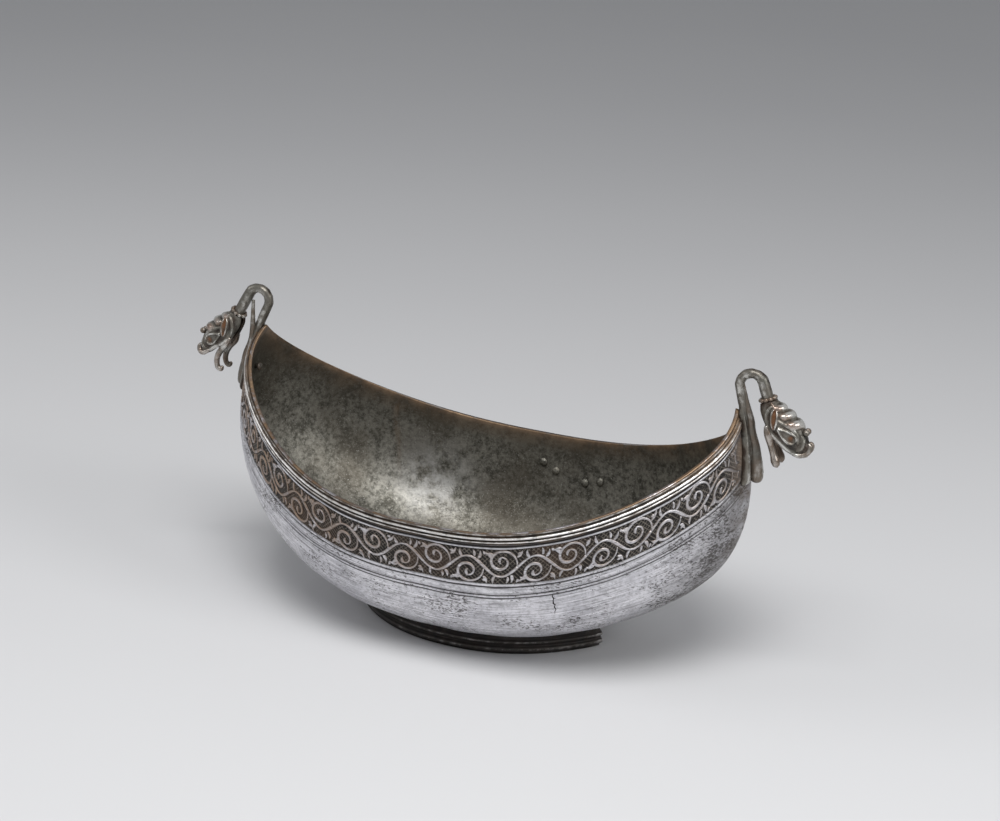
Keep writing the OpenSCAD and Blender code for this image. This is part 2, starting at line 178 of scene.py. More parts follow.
# %% Distances along the rim and down the wall
fine_angle = np.linspace(0, np.pi, 4001)
rim_steps = np.linalg.norm(np.diff(skin(fine_angle, 1.0, 0.0), axis=0), axis=1)
rim_run = np.concatenate([[0.0], np.cumsum(rim_steps)])
side_run = rim_run[-1]
table_u = np.linspace(0, side_run, 301)
table_d = np.linspace(0, 46, 93)
wall_shares = np.linspace(1.0, 0.25, 151)
wall_lines = skin(np.interp(table_u, rim_run, fine_angle)[:, None], wall_shares[None, :], 0.0)
wall_steps = np.linalg.norm(np.diff(wall_lines, axis=1), axis=2)
wall_run = np.concatenate([np.zeros((len(table_u), 1)), np.cumsum(wall_steps, axis=1)], axis=1)
after = np.clip((wall_run[:, :, None] < table_d).sum(1), 1, len(wall_shares) - 1)
run_before = np.take_along_axis(wall_run, after - 1, 1)
run_after = np.take_along_axis(wall_run, after, 1)
share_table = wall_shares[after - 1] + (wall_shares[after] - wall_shares[after - 1])*(
    (table_d - run_before)/(run_after - run_before))


def share_at(u, d):
    """The share t, read between the four nearest places of the table."""
    x = np.clip(u/side_run*(len(table_u) - 1), 0, len(table_u) - 1.001)
    y = np.clip(d/table_d[-1]*(len(table_d) - 1), 0, len(table_d) - 1.001)
    i, j = x.astype(int), y.astype(int)
    p, q = x - i, y - j
    low = share_table[i, j]*(1 - q) + share_table[i, j + 1]*q
    high = share_table[i + 1, j]*(1 - q) + share_table[i + 1, j + 1]*q
    return low*(1 - p) + high*p


def wall_point(u, d, inset, side):
    """Point u along the rim from the right prow and d down the wall, on the back (1) or front (-1)."""
    angle = np.interp(u, rim_run, fine_angle)
    return skin_at(np.cos(angle), side, share_at(u, d), inset)


print("one side of the rim runs", round(float(side_run), 1), "mm")

# %% [markdown]
# Finishes come next. Old tin over copper isn't one colour: it is scratched along the bowl, pitted, and worn
# through to brown copper wherever hands and cloths rubbed, while dirt stays dark in each cut; the groove
# under the rim strips is painted dark as their shadow, and a few other places carry painted light and shade.
# All of it is noise on Object coordinates or on the flat places of the band, steered by the fields on the
# mesh, so it turns with the bowl. A node material is long to write out node by node, so a small kit adds the
# few kinds that are needed.

# %% A kit for node materials
class Finish:
    """A node material in the making. Each method adds nodes and gives back what they put out. What goes in
    is a plain value or what another node puts out."""

    def __init__(self, name):
        self.material = bpy.data.materials.new(name)
        self.material.use_nodes = True
        self.tree = self.material.node_tree
        self.surface = self.tree.nodes["Principled BSDF"].inputs
        self.place = self.add("ShaderNodeTexCoord").outputs["Object"]

    def feed(self, socket, value):
        """A value set on a socket, or a link made to it."""
        if isinstance(value, bpy.types.NodeSocket):
            self.tree.links.new(value, socket)
        else:
            socket.default_value = value

    def add(self, kind, inputs=None, **settings):
        """A node of a kind with its settings and inputs."""
        node = self.tree.nodes.new(kind)
        for key, value in settings.items():
            setattr(node, key, value)
        for key, value in (inputs or {}).items():
            self.feed(node.inputs[key], value)
        return node

    def field(self, name):
        """A field of the mesh."""
        return self.add("ShaderNodeAttribute", attribute_name=name).outputs["Fac"]

    def noise(self, place, scale, detail=5.0, rough=0.55, stretch=(1, 1, 1)):
        """Cloudy noise at a place; stretch squeezes it along the axes first."""
        squeezed = self.add("ShaderNodeMapping", {"Vector": place, "Scale": stretch}).outputs[0]
        inputs = {"Vector": squeezed, "Scale": scale, "Detail": detail, "Roughness": rough}
        return self.add("ShaderNodeTexNoise", inputs).outputs["Fac"]

    def between(self, value, low, high, to_low=0.0, to_high=1.0):
        """The value spread so that low becomes to_low and high becomes to_high, smoothly and clamped."""
        inputs = {"Value": value, "From Min": low, "From Max": high, "To Min": to_low, "To Max": to_high}
        return self.add("ShaderNodeMapRange", inputs, interpolation_type="SMOOTHSTEP").outputs["Result"]

    def maths(self, operation, one, other=0.0):
        """One number, or two taken together, by a Math node."""
        return self.add("ShaderNodeMath", {0: one, 1: other}, operation=operation).outputs[0]

    def product(self, value, *others):
        """Numbers multiplied one after the other."""
        for other in others:
            value = self.maths("MULTIPLY", value, other)
        return value

    def total(self, value, *others):
        """Numbers added one after the other."""
        for other in others:
            value = self.maths("ADD", value, other)
        return value

    def blended(self, share, one, other):
        """The number one where the share is 0, the other where it is 1."""
        return self.add("ShaderNodeMix", {0: share, 2: one, 3: other}, data_type="FLOAT").outputs[0]

    def mixed(self, share, one, other):
        """The colour one where the share is 0, the other where it is 1."""
        one, other = ((*c, 1.0) if isinstance(c, tuple) else c for c in (one, other))
        return self.add("ShaderNodeMix", {0: share, 6: one, 7: other}, data_type="RGBA").outputs[2]

    def layered(self, colour, layers):
        """A colour under layers of (value, low, high, share, colour and any limits): a layer covers more
        as its value goes from low to high, up to its share times its limits."""
        for value, low, high, share, over, *limits in layers:
            cover = self.product(self.between(value, low, high, 0, share), *limits)
            colour = self.mixed(cover, colour, over)
        return colour

    def finished(self, colour, metallic, roughness, relief, depth):
        """The material with all of these at its surface; depth is the relief's height in metres."""
        bump = self.add("ShaderNodeBump", {"Height": relief, "Strength": 0.4, "Distance": depth})
        for socket, value in (("Base Color", colour), ("Metallic", metallic), ("Roughness", roughness),
                              ("Normal", bump.outputs[0])):
            self.feed(self.surface[socket], value)
        return self.material


# %% [markdown]
# The tin has four looks. The hull is pale, brushed along the bowl, and pitted below the engraved lines, most
# of all towards the right prow, where a painted shade also darkens its end. The inside is dull and speckled,
# dark partly from tarnish and partly as a painted dark reflection, with one painted patch of light. The sunk
# ground of the frieze is hatched and nearly black, and copper shows where the tin is rubbed through. Each
# look is a colour under layers, and the fields on the mesh choose between them.

# %% Noises and distances that the tin's looks share
tin_fields = ("inside", "ground", "groove", "edge", "worn", "bloom")
pitted_below, rough_end, faded_end, hatch_pitch = (22, 27), (66, 8), (6, 60), 1.45


def tin_marks(kit):
    """The tin's fields, its noises, and the distances in the band UV: mm along the rim and below it."""
    band = kit.add("ShaderNodeUVMap", uv_map="band").outputs[0]
    along, below = kit.add("ShaderNodeSeparateXYZ", {0: band}).outputs[:2]
    from_end = kit.maths("MINIMUM", along, kit.maths("SUBTRACT", side_run, along))
    clusters = kit.noise(kit.place, 62, 4, 0.6, (0.8, 0.8, 1.4))
    pits = kit.total(kit.noise(kit.place, 1100, 5, 0.65, (0.55, 0.55, 1.2)),
                     kit.between(along, *rough_end, 0, 0.085), kit.product(clusters, 0.6))
    scars = kit.noise(kit.place, 300, 9, 0.75, (1, 1, 1.4))
    pitted = kit.maths("MAXIMUM", kit.between(pits, 0.885, 0.955), kit.between(scars, 0.665, 0.69))
    return SimpleNamespace(
        band=band, along=along, below=below,
        clouds=kit.noise(kit.place, 28, 6),
        blotches=kit.noise(kit.place, 110, 8, 0.65),
        mottle=kit.noise(kit.place, 480, 6, 0.7),
        grain=kit.noise(kit.place, 1300, 5, 0.7),
        scratches=kit.noise(band, 1.0, 6, 0.7, (0.045, 1.5, 1)),
        brushing=kit.noise(band, 1.0, 4, 0.6, (0.035, 3.6, 1)),
        pitted=kit.product(pitted, kit.between(below, *pitted_below)),
        fading=kit.between(from_end, *faded_end, 0.15, 1),
        **{name: kit.field(name) for name in tin_fields})


# %% The looks of the tin
def pale_tin(kit, marks):
    """The hull: nearly white, clouded, brushed, scratched and pitted, and darker at its right end with a
    painted shade.
    """
    base = kit.mixed(kit.between(marks.clouds, 0.35, 0.68), (0.80, 0.79, 0.825), (0.63, 0.625, 0.665))
    patchy = kit.between(marks.blotches, 0.3, 0.6, 0.5, 1)
    brushed = kit.layered(base, [
        (marks.blotches, 0.45, 0.68, 0.5, (0.42, 0.415, 0.445)),
        (marks.mottle, 0.46, 0.62, 0.55, (0.33, 0.325, 0.34)),
        (marks.brushing, 0.50, 0.68, 0.5, (0.30, 0.29, 0.30)),
        (marks.brushing, 0.47, 0.32, 0.5, (0.92, 0.91, 0.93)),
        (marks.scratches, 0.52, 0.62, 0.8, (0.24, 0.235, 0.245), marks.fading),
        (marks.scratches, 0.46, 0.36, 0.85, (0.93, 0.92, 0.95), marks.fading),
        # painted shade: the hull darkens in patches over the last 60 mm towards the right prow
        (marks.along, 60, 4, 0.75, (0.15, 0.145, 0.14), patchy)])
    return kit.mixed(kit.product(marks.pitted, 0.8), brushed, (0.070, 0.062, 0.056))


def dull_tin_painted_dark(kit, marks):
    """The inside: grey-brown speckle, dark partly from tarnish and partly as a painted dark reflection, with
    a painted patch of light, browner just below the rim.
    """
    speckle = kit.total(kit.product(marks.mottle, 0.6), kit.product(marks.blotches, 0.4))
    # painted dark reflection: the base is darker than tarnished tin alone, standing in for the dark
    # surroundings that the inside reflects
    base = kit.mixed(kit.between(speckle, 0.385, 0.615), (0.080, 0.076, 0.063), (0.30, 0.288, 0.25))
    return kit.layered(base, [
        (marks.clouds, 0.40, 0.66, 0.7, (0.115, 0.100, 0.078)),
        # painted light: a pale patch where light falls on the inside wall
        (marks.blotches, 0.34, 0.6, 1.0, (0.50, 0.495, 0.48), marks.bloom),
        (marks.grain, 0.58, 0.68, 0.7, (0.50, 0.49, 0.46)),
        (marks.grain, 0.40, 0.30, 0.7, (0.030, 0.028, 0.024)),
        (marks.below, 9, 1, 0.45, (0.125, 0.110, 0.086))])


def hatching(kit, marks):
    """Height of the hatched ground: sine waves along one diagonal, or the higher of both diagonals where a
    slow noise says so, and less of them where the mottle is high."""
    turn = 2*np.pi/hatch_pitch/2**0.5
    one, other = (kit.maths("SINE", kit.product(kit.maths(operation, marks.along, marks.below), turn))
                  for operation in ("ADD", "SUBTRACT"))
    crossed = kit.between(kit.noise(marks.band, 0.13, 2), 0.36, 0.46)
    waves = kit.blended(crossed, one, kit.maths("MAXIMUM", one, other))
    return kit.maths("SUBTRACT", waves, kit.between(marks.mottle, 0.45, 0.75, 0, 0.7))


def sunk_ground(kit, marks, hatch):
    """The ground of the frieze: black with dirt, its hatching rubbed, browner in clouds."""
    base = kit.mixed(kit.between(hatch, 0.5, 0.95), (0.013, 0.011, 0.010), (0.155, 0.135, 0.115))
    return kit.layered(base, [(marks.clouds, 0.5, 0.72, 0.35, (0.12, 0.066, 0.036))])


# %% The tin of the bowl, outside, inside and in the engraving
def tin_finish():
    """The looks laid over each other: each field says how much of its look covers those before it."""
    kit = Finish("old tin over copper")
    marks = tin_marks(kit)
    hatch = hatching(kit, marks)
    copper = kit.mixed(kit.between(marks.blotches, 0.3, 0.7), (0.105, 0.062, 0.038), (0.29, 0.200, 0.128))
    rubbed = kit.product(marks.edge, kit.between(marks.clouds, 0.3, 0.65, 0.45, 1.0))
    worn = kit.product(marks.worn, kit.between(marks.blotches, 0.34, 0.54, 0.25, 1.0))
    colour = pale_tin(kit, marks)
    for share, look in ((marks.inside, dull_tin_painted_dark(kit, marks)), (marks.ground, sunk_ground(kit, marks, hatch)),
                        (rubbed, copper), (worn, copper), (marks.groove, (0.022, 0.018, 0.016))):
        colour = kit.mixed(share, colour, look)
    dark = kit.maths("MAXIMUM", marks.ground, marks.groove)
    satin = kit.total(kit.between(marks.blotches, 0.3, 0.7, 0.34, 0.5), kit.product(marks.pitted, 0.2))
    roughness = kit.blended(dark, kit.blended(marks.inside, satin, 0.52), 0.7)
    brushed = kit.product(marks.scratches, marks.fading, kit.between(marks.inside, 0, 1, 0.5, 0))
    relief = kit.total(brushed, kit.product(marks.grain, 0.35), kit.product(marks.mottle, 0.6),
                       kit.product(marks.pitted, -0.5), kit.product(hatch, marks.ground, 0.5))
    return kit.finished(colour, kit.between(dark, 0, 1, 0.93, 0.4), roughness, relief, 0.25*MM)


tin = tin_finish()
print("finish of the bowl:", tin.name)


# %% The rubbed copper of the strips and the dark bronze of the castings
def rubbed_finish(name, dirt, body, bright, rust, roughness):
    """Metal that is dark with dirt where the field worn is 0 and rubbed bright where it is 1, and brown where
    the field stain is 1; on the hooks, the heads' tubes and the foot the field worn also carries painted
    highlights and painted shade; roughness is its pair of values, rubbed and dull."""
    kit = Finish(name)
    blotches = kit.noise(kit.place, 190, 7, 0.65)
    grain = kit.noise(kit.place, 1300, 5, 0.7)
    clouds = kit.noise(kit.place, 140, 5)
    worn = kit.total(kit.field("worn"), kit.between(blotches, 0.3, 0.7, -0.22, 0.22))
    brown = kit.product(kit.field("stain"), kit.between(clouds, 0.36, 0.58, 0.15, 1.0))
    colour = kit.layered(dirt, [(worn, 0.05, 0.42, 1, body), (worn, 0.5, 0.95, 1, bright)])
    colour = kit.layered(kit.mixed(brown, colour, rust), [(grain, 0.60, 0.72, 0.75, dirt)])
    relief = kit.total(kit.product(grain, 0.4), blotches)
    gloss = kit.between(worn, 0.2, 1.0, roughness[1], roughness[0])
    return kit.finished(colour, kit.between(worn, 0.1, 0.9, 0.35, 0.7), gloss, relief, 0.3*MM)


strip_copper = rubbed_finish("rubbed copper strip", (0.010, 0.008, 0.007), (0.092, 0.080, 0.068),
                             (0.80, 0.79, 0.78), (0.19, 0.118, 0.064), (0.28, 0.5))
cast_bronze = rubbed_finish("dark cast bronze", (0.016, 0.013, 0.010), (0.135, 0.130, 0.112),
                            (0.62, 0.615, 0.585), (0.19, 0.085, 0.036), (0.2, 0.36))
# The foot's colours are near black: dark bronze with a painted shade for the shadow under the bowl
shaded_foot_bronze = rubbed_finish("foot bronze in painted shade", (0.008, 0.007, 0.006), (0.036, 0.033, 0.030),
                            (0.32, 0.31, 0.30), (0.06, 0.038, 0.026), (0.34, 0.55))
print("finishes of the other pieces:", strip_copper.name, cast_bronze.name, shaded_foot_bronze.name)

# %% [markdown]
# Now the bowl. On the real one the smith raised the sheet over stakes, and the engraver then sank the
# frieze and cut the lines. A modifier could displace a plain bowl, but thin lines would need millions
# of faces. So the rows of the grid are put where the lines are: close together at each groove and far
# apart on the plain hull. A row is a distance below the rim, an inset and what the row is part of.

# %% Rows of the bowl's grid
PLAIN, GROOVE_AND_SHADOW, SUNK = 0, 1, 2
frieze_top, frieze_low, frieze_depth = 7.2, 24.6, 0.5
hull_lines, guard_line, band_end = (32.3, 30.6), 26.2, 34.0
strip_line_top, cut_depth = 5.3, 0.35


def plain_rows(*distances):
    """Rows on the uncut wall."""
    return [(d, 0, PLAIN) for d in distances]


def sunk_rows(*distances):
    """Rows on the ground of the frieze."""
    return [(d, frieze_depth, SUNK) for d in distances]


def groove_rows(middle, width):
    """Four rows that cut a groove: down the lower side and up again."""
    return [(middle + width/2, 0, PLAIN), (middle + width/5, cut_depth, GROOVE_AND_SHADOW),
            (middle - width/5, cut_depth, GROOVE_AND_SHADOW), (middle - width/2, 0, PLAIN)]


band_rows = np.array(
    plain_rows(band_end) + groove_rows(hull_lines[0], 0.9) + groove_rows(hull_lines[1], 0.9)
    + plain_rows(28.4) + groove_rows(guard_line, 1.0) + plain_rows(25.2, frieze_low + 0.1)
    + sunk_rows(frieze_low - 0.1, *np.linspace(frieze_low - 0.6, frieze_top + 0.6, 9), frieze_top + 0.1)
    # Under the rim strips two rows cut a shallow groove of the dark kind: its near black is a painted shadow
    # of the strips
    + plain_rows(frieze_top - 0.1, 6.6) + [(6.4, cut_depth, GROOVE_AND_SHADOW), (5.6, cut_depth, GROOVE_AND_SHADOW)]
    + plain_rows(strip_line_top, 3.0, 0.35))
lip_rows = np.array([(0.10, 0.10), (0.0, 0.38), (0.0, 0.8), (0.0, 1.22), (0.10, 1.50), (0.35, wall)])
hull_top = 0.985
hull_shares = np.linspace(0.045, hull_top, 30)
inner_shares = np.linspace(hull_top, 0.045, 28)
side_columns = 256
print("the bowl has", len(hull_shares) + len(band_rows) + len(lip_rows) + len(inner_shares), "rows")


# %% How far hand and hammer stray
def wobble(u):
    """How far the engraver's lines stray: two slow waves along the rim."""
    return 0.13*np.sin(u/9.7 + 0.6) + 0.09*np.sin(u/4.1 + 2.0)


def from_stem(u):
    """0 at the two stems and 1 away from them: the frieze is rubbed flat beside the straps."""
    return 1 - np.exp(-(np.minimum(u, side_run - u)/10)**2)


def hammered(angle, t):
    """Shallow facets that the hammer leaves: three crossing waves of a tenth of a millimetre, which die
    out towards the keel."""
    waves = np.sin(23*angle + 14*t) + np.sin(17*angle - 25*t + 1.1) + np.sin(9*angle + 41*t + 2.3)
    return 0.05*waves*np.clip((t - 0.12)/0.3, 0, 1)


print("the engraved lines stray by up to", round(float(np.abs(wobble(rim_run)).max()), 2), "mm")

# %% [markdown]
# The frieze is an arabesque: a wavy vine with a spiral tendril in each bend and leaves in the corners, as
# on many vessels of the kind. The engraver cut the ground away and left the strokes standing. So each
# stroke is a low ribbon with bevelled sides. Its middle line is drawn flat, in millimetres along the
# rim and down from the frieze's top, and then wrapped on the wall by the table above.

# %% Strokes of the arabesque, drawn flat
frieze_height = frieze_low - frieze_top
repeats = 11
period = side_run/repeats
vine_swing = 4.7
spiral_start, spiral_turn, spiral_drop = 165, 470, 6.3
spiral_eye, spiral_reach, spiral_decay = 1.7, 5.5, 250
hand = np.random.default_rng(11)


def placed(u, v, upside_down):
    """Strokes at their flat places, or upside down in the next half bend."""
    return np.stack([u + period/2, frieze_height - v] if upside_down else [u, v], -1)


def vine_lines(stations=44):
    """One bend of the vine per repeat: a sine wave about the middle of the frieze."""
    s = np.linspace(0, 1, stations)
    u = (np.arange(repeats)[:, None] + s)*period
    v = np.broadcast_to(frieze_height/2 + vine_swing*np.sin(2*np.pi*s), u.shape)
    return placed(u, v, False), np.broadcast_to(1.05 + 0.3*np.sin(4*np.pi*s + 1.0), u.shape)


def spiral_lines(upside_down, stations=46):
    """A tendril per bend: its radius falls off exponentially while it winds inwards."""
    s = np.linspace(0, 1, stations)
    size = 1 + 0.05*hand.standard_normal((repeats, 1))
    wound = spiral_start + spiral_turn*s
    turn = np.radians(wound) + 0.08*hand.standard_normal((repeats, 1))
    radius = (spiral_eye + spiral_reach*np.exp(-(wound - 180)/spiral_decay))*size
    u = period*(np.arange(repeats)[:, None] + 0.25) + radius*np.cos(turn)
    v = spiral_drop + radius*np.sin(turn)*0.96
    width = np.broadcast_to(0.6 + 0.7*np.sin(np.pi*np.clip(s*1.06, 0, 1)), u.shape)
    return placed(u, v, upside_down), width


# %% Leaves of the arabesque, and all strokes together
def leaf_lines(u0, v0, heading, length, curl, width, upside_down, stations=9):
    """A leaf per bend: its middle line turns by curl on the way, and it swells and comes to a point."""
    s = np.linspace(0, 1, stations)
    stretch = 1 + 0.08*hand.standard_normal((repeats, 1))
    turn = np.radians(heading + curl*s) + 0.12*hand.standard_normal((repeats, 1))
    step = length*stretch/(stations - 1)
    u = period*np.arange(repeats)[:, None] + u0 + np.cumsum(np.cos(turn), axis=1)*step
    v = v0 + np.cumsum(np.sin(turn), axis=1)*step
    swell = 0.2 + 0.85*width*np.sin(np.pi*s**0.75)
    return placed(u, v, upside_down), np.broadcast_to(swell, u.shape)


# Each leaf's place in the bend, heading, length, curl and width
leaf_kinds = [
    (6.9, 3.9, 15, 3.2, 120, 1.5), (0.9, 4.2, 205, 4.2, 50, 1.4), (11.2, 5.6, -75, 4.4, 60, 1.5),
    (10.4, 3.0, -30, 3.8, 70, 1.2), (3.4, 12.2, 150, 4.0, -70, 1.5), (4.6, 13.2, 120, 3.2, -60, 1.2),
    (9.4, 12.6, 40, 3.8, 65, 1.4), (13.6, 15.2, 0, 1.6, 0, 1.3), (-0.6, 14.6, 60, 1.7, 0, 1.2)]
strokes = [vine_lines(), spiral_lines(False), spiral_lines(True)]
strokes += [leaf_lines(*kind, flip) for kind in leaf_kinds for flip in (False, True)]
print("each side has", repeats*len(strokes), "strokes, and one bend is", round(float(period), 1), "mm")


# %% Strokes wrapped on the wall as ribbons
# Six points across a ribbon: share of its width, inset from the wall's face, and the field edge
ribbon_share = np.array([-0.56, -0.5, -0.26, 0.26, 0.5, 0.56])
ribbon_inset = np.array([0.7, 0.2, 0.06, 0.06, 0.2, 0.7])
ribbon_edge = np.array([1.0, 0.6, 0.0, 0.0, 0.6, 1.0])
stem_sinking = 0.75


def ribbons(lines, width, side, lowest=frieze_height - 0.05):
    """Points, faces, edge field and flat places of ribbons: across each middle line, six points make a
    low bar with bevelled top edges, whose sides go down into the sunk ground."""
    count, stations = lines.shape[:2]
    along = np.gradient(lines, axis=1)
    across = np.stack([-along[..., 1], along[..., 0]], -1)
    across /= np.linalg.norm(across, axis=-1, keepdims=True) + 1e-9
    flat = lines[:, :, None] + across[:, :, None]*(width[..., None]*ribbon_share)[..., None]
    u = np.clip(flat[..., 0], 0, side_run)
    d = np.clip(flat[..., 1], 0.05, lowest) + frieze_top + wobble(u)
    inset = ribbon_inset + stem_sinking*(1 - from_stem(u))**1.5
    points = wall_point(u, d, inset, side).reshape(-1, 3)
    size = len(ribbon_share)
    starts = np.arange(count)[:, None]*stations*size
    quads = (ring_quads(stations, size) + starts[..., None]).reshape(-1, 4)
    first = np.arange(size)
    caps = np.concatenate([starts + first[::-1], starts + (stations - 1)*size + first])
    faces = quads.tolist() + caps.tolist()
    if side < 0:
        faces = [f[::-1] for f in faces]
    edge = np.broadcast_to(ribbon_edge, u.shape).reshape(-1)
    return points, faces, edge, np.stack([u, d], -1).reshape(-1, 2)


# %% The bowl's grid, from keel over the lip to the inside
hull_reach, inner_reach = 70.0, 95.0


def bowl_grid():
    """Points, u, angle and distance below the rim: rows from the keel up the outside, over the lip and
    down the inside, each once round the plan."""
    run = np.linspace(0, side_run, side_columns, endpoint=False)
    u = np.concatenate([run, side_run - run])
    angle = np.concatenate([np.interp(run, rim_run, fine_angle),
                            2*np.pi - np.interp(side_run - run, rim_run, fine_angle)])
    hull, inner = hull_shares[:, None], inner_shares[:, None]
    band, lip = (np.repeat(rows[:, :2, None], len(u), axis=2) for rows in (band_rows, lip_rows))
    hull_t = hull*share_at(u, band_end)
    hull_inset = hammered(angle, hull_t)*np.clip((hull_top - hull)/0.2, 0, 1)
    band_d = band[:, 0] + wobble(u)*np.clip(band[:, 0] - strip_line_top, 0, 1)
    band_inset = band[:, 1]*np.where(band_rows[:, 2:] == SUNK, from_stem(u), 1.0)
    inner_t = inner*share_at(u, lip_rows[-1, 0])
    inner_inset = wall + hammered(angle + 0.4, inner_t*1.3)*np.clip((hull_top - inner)/0.1, 0, 1)
    t = np.concatenate([hull_t, share_at(u, band_d), share_at(u, lip[:, 0]), inner_t])
    inset = np.concatenate([hull_inset, band_inset, lip[:, 1], inner_inset])
    below = np.concatenate([band_end + (1 - hull)*hull_reach + 0*u, band_d, lip[:, 0],
                            (1 - inner)*inner_reach + 0*u])
    return skin(angle, t, inset), u, angle, below


# %% Wear and dirt on the bowl
dull_lip_row = 4
streak_at, streak_width, streak_end = 241.0, 1.3, 26.0
# Place and reach of the painted patch of light inside the bowl
painted_light_at, painted_light_reach = np.array([-52, 59, 41]), 16.0


def bowl_wear(points, u, angle, below):
    """The tin's fields on the grid: the sunk ground and the grooves by their rows, with a painted shadow in
    the groove under the rim strips, bare copper at the lip and beside the straps, one brown streak down the
    back wall, and one painted patch of light inside."""
    hull, inner = len(hull_shares), -len(inner_shares)
    lip, lip_end = hull + len(band_rows), hull + len(band_rows) + len(lip_rows)
    fields = {name: np.zeros(below.shape) for name in tin_fields}
    fields["inside"][lip + dull_lip_row:] = 1
    fields["ground"][hull:lip] = np.where(band_rows[:, 2:] == SUNK, from_stem(u)**0.5, 0)
    # Rows of the dark kind are painted near black: the cut lines, and under the rim strips a painted shadow
    fields["groove"][hull:lip] = band_rows[:, 2:] == GROOVE_AND_SHADOW
    fields["worn"][:lip] = 0.9*(1 - from_stem(u))*np.exp(-np.maximum(0, below[:lip] - 20)/13)
    fields["worn"][lip - 1:lip_end] = 1
    fields["worn"][lip_end] = 0.4
    from_streak = (u - streak_at - 0.8*np.sin(below[inner:]/3))/streak_width
    streak = np.exp(-from_streak**2)*(angle < np.pi)
    fields["worn"][inner:] += 0.4*streak*np.clip((streak_end - below[inner:])/10, 0, 1)
    # painted light: a pale patch on the inside wall that fades with the distance from its place
    fields["bloom"] = 0.85*np.exp(-(np.linalg.norm(points - painted_light_at, axis=2)/painted_light_reach)**2)
    return fields


def raised_sheet():
    """Points, faces, fields and flat places of the bowl without strokes; fans close it at the keel."""
    rings, u, angle, below = bowl_grid()
    fields = bowl_wear(rings, u, angle, below)
    rows, columns = below.shape
    keel = np.array([[0, 0, keel_height], [0, 0, keel_height + wall]])
    points = np.concatenate([rings.reshape(-1, 3), keel])
    ring = np.arange(columns)
    following = (ring + 1) % columns
    last, tip = (rows - 1)*columns, np.full(columns, rows*columns)
    fans = np.concatenate([np.stack([tip, following, ring], -1),
                           np.stack([tip + 1, last + ring, last + following], -1)])
    faces = facing_out(points, ring_quads(rows, columns).tolist() + fans.tolist())
    fields = {k: np.concatenate([v.reshape(-1), [0, k == "inside"]]) for k, v in fields.items()}
    flat = np.stack([u + 0*below, below], -1).reshape(-1, 2)
    return points, faces, fields, np.concatenate([flat, [[0, band_end + hull_reach], [0, inner_reach]]])


# %% The bowl with its strokes and its one crack
crack = np.array([[102.7, 25.2], [102.5, 26.2], [101.4, 27.8], [101.5, 28.7], [100.7, 30.9],
                  [99.6, 31.7], [99.5, 33.2], [98.0, 35.3], [98.1, 36.4], [97.3, 38.4]])
crack_width = np.array([0.25, 0.5, 0.6, 0.45, 0.65, 0.5, 0.55, 0.4, 0.35, 0.12])
crack_lift, crack_lowest = np.array([0.1, -0.22, 0.0]), 60.0
left_shade_from, left_shade_over = 110, 130

bowl_parts = [raised_sheet()]
for lines, width in strokes:
    for side in (-1, 1):
        points, faces, edge, flat = ribbons(lines, width, side)
        # Copper shows on every stroke at a constant share; the rise towards the left prow is a painted shade
        worn = 0.26 + 0.52*np.clip((flat[:, 0] - left_shade_from)/left_shade_over, 0, 1)
        bowl_parts.append((points, faces, {"edge": edge, "worn": worn, "groove": 0.7*(edge > 0.9)}, flat))
points, faces, edge, flat = ribbons(crack[None], crack_width[None], -1, crack_lowest)
bowl_parts.append((points + crack_lift, faces, {"groove": np.ones(len(edge))}, flat))
bowl_points, bowl_faces = joined([part[:2] for part in bowl_parts])
bowl_fields = {name: np.concatenate([part[2].get(name, np.zeros(len(part[0]))) for part in bowl_parts])
               for name in tin_fields}
make_piece("bowl_skin", bowl_points, bowl_faces, tin, ["bowl"], bowl_fields,
           np.concatenate([part[3] for part in bowl_parts]))

# %% [markdown]
# The rim strips were drawn through a die, so they are one profile carried along the rim: a small bead at
# the edge, a deep groove, and two more beads. The profile is a closed line of distances below the rim
# and heights above the wall. The field worn is the height, because hands polish the beads and leave the
# grooves dark.

# %% The rim strips
rod_d = 4.3
strip_height, strip_bead = 5.2, 1.25


def bead(low, high, foot, top, count=7):
    """Points over a half-round bead between two distances below the rim."""
    a = np.linspace(0, np.pi, count)
    return np.stack([low + (high - low)*(1 - np.cos(a))/2, foot + (top - foot)*np.sin(a)**0.8], -1)


strip_face = np.concatenate([bead(0.0, 0.85, 0.3, 0.8), [[0.95, 0.1], [1.5, 0.1]],
                             bead(1.6, 2.75, 0.25, strip_bead - 0.03), [[2.85, 0.12], [3.3, 0.12]],
                             bead(3.4, 4.25, 0.25, 0.95), [[4.35, 0.12], [5.05, 0.12]]])
strip_profile = np.concatenate([strip_face, [[strip_height, 0.0], [strip_height/2, 0.0], [0.0, 0.0]]])
strip_down, strip_proud = strip_profile.T
strip_clear = rod_d/2 + 3*solder_gap + strip_bead
strip_start_c = (1 - (strip_clear/half_width)**(1/rim_sharpness))**(1/plan_power)
strip_start = float(np.interp(np.arccos(strip_start_c), fine_angle, rim_run))
brown_end = 34.0
long_sides = (("front", -1), ("back", 1))


def rim_strip(place, side, stations=260):
    """The strip's profile carried along one side of the rim."""
    u = np.linspace(strip_start, side_run - strip_start, stations)[:, None]
    points, faces = loft(wall_point(u, strip_down, -(solder_gap + strip_proud), side))
    worn = np.tile(np.clip((strip_proud - 0.15)/0.85, 0, 0.95)**1.5, stations)
    from_end = np.minimum(u, side_run - u)
    stain = 0.2 + 0.5*np.exp(-(from_end/brown_end)**2) + 0.25*(strip_down > strip_height - 0.3)
    make_piece(place + "_rim_strip", points, faces, strip_copper, ["rim_strip_" + place],
               {"worn": worn, "stain": stain})


for place, side in long_sides:
    rim_strip(place, side)

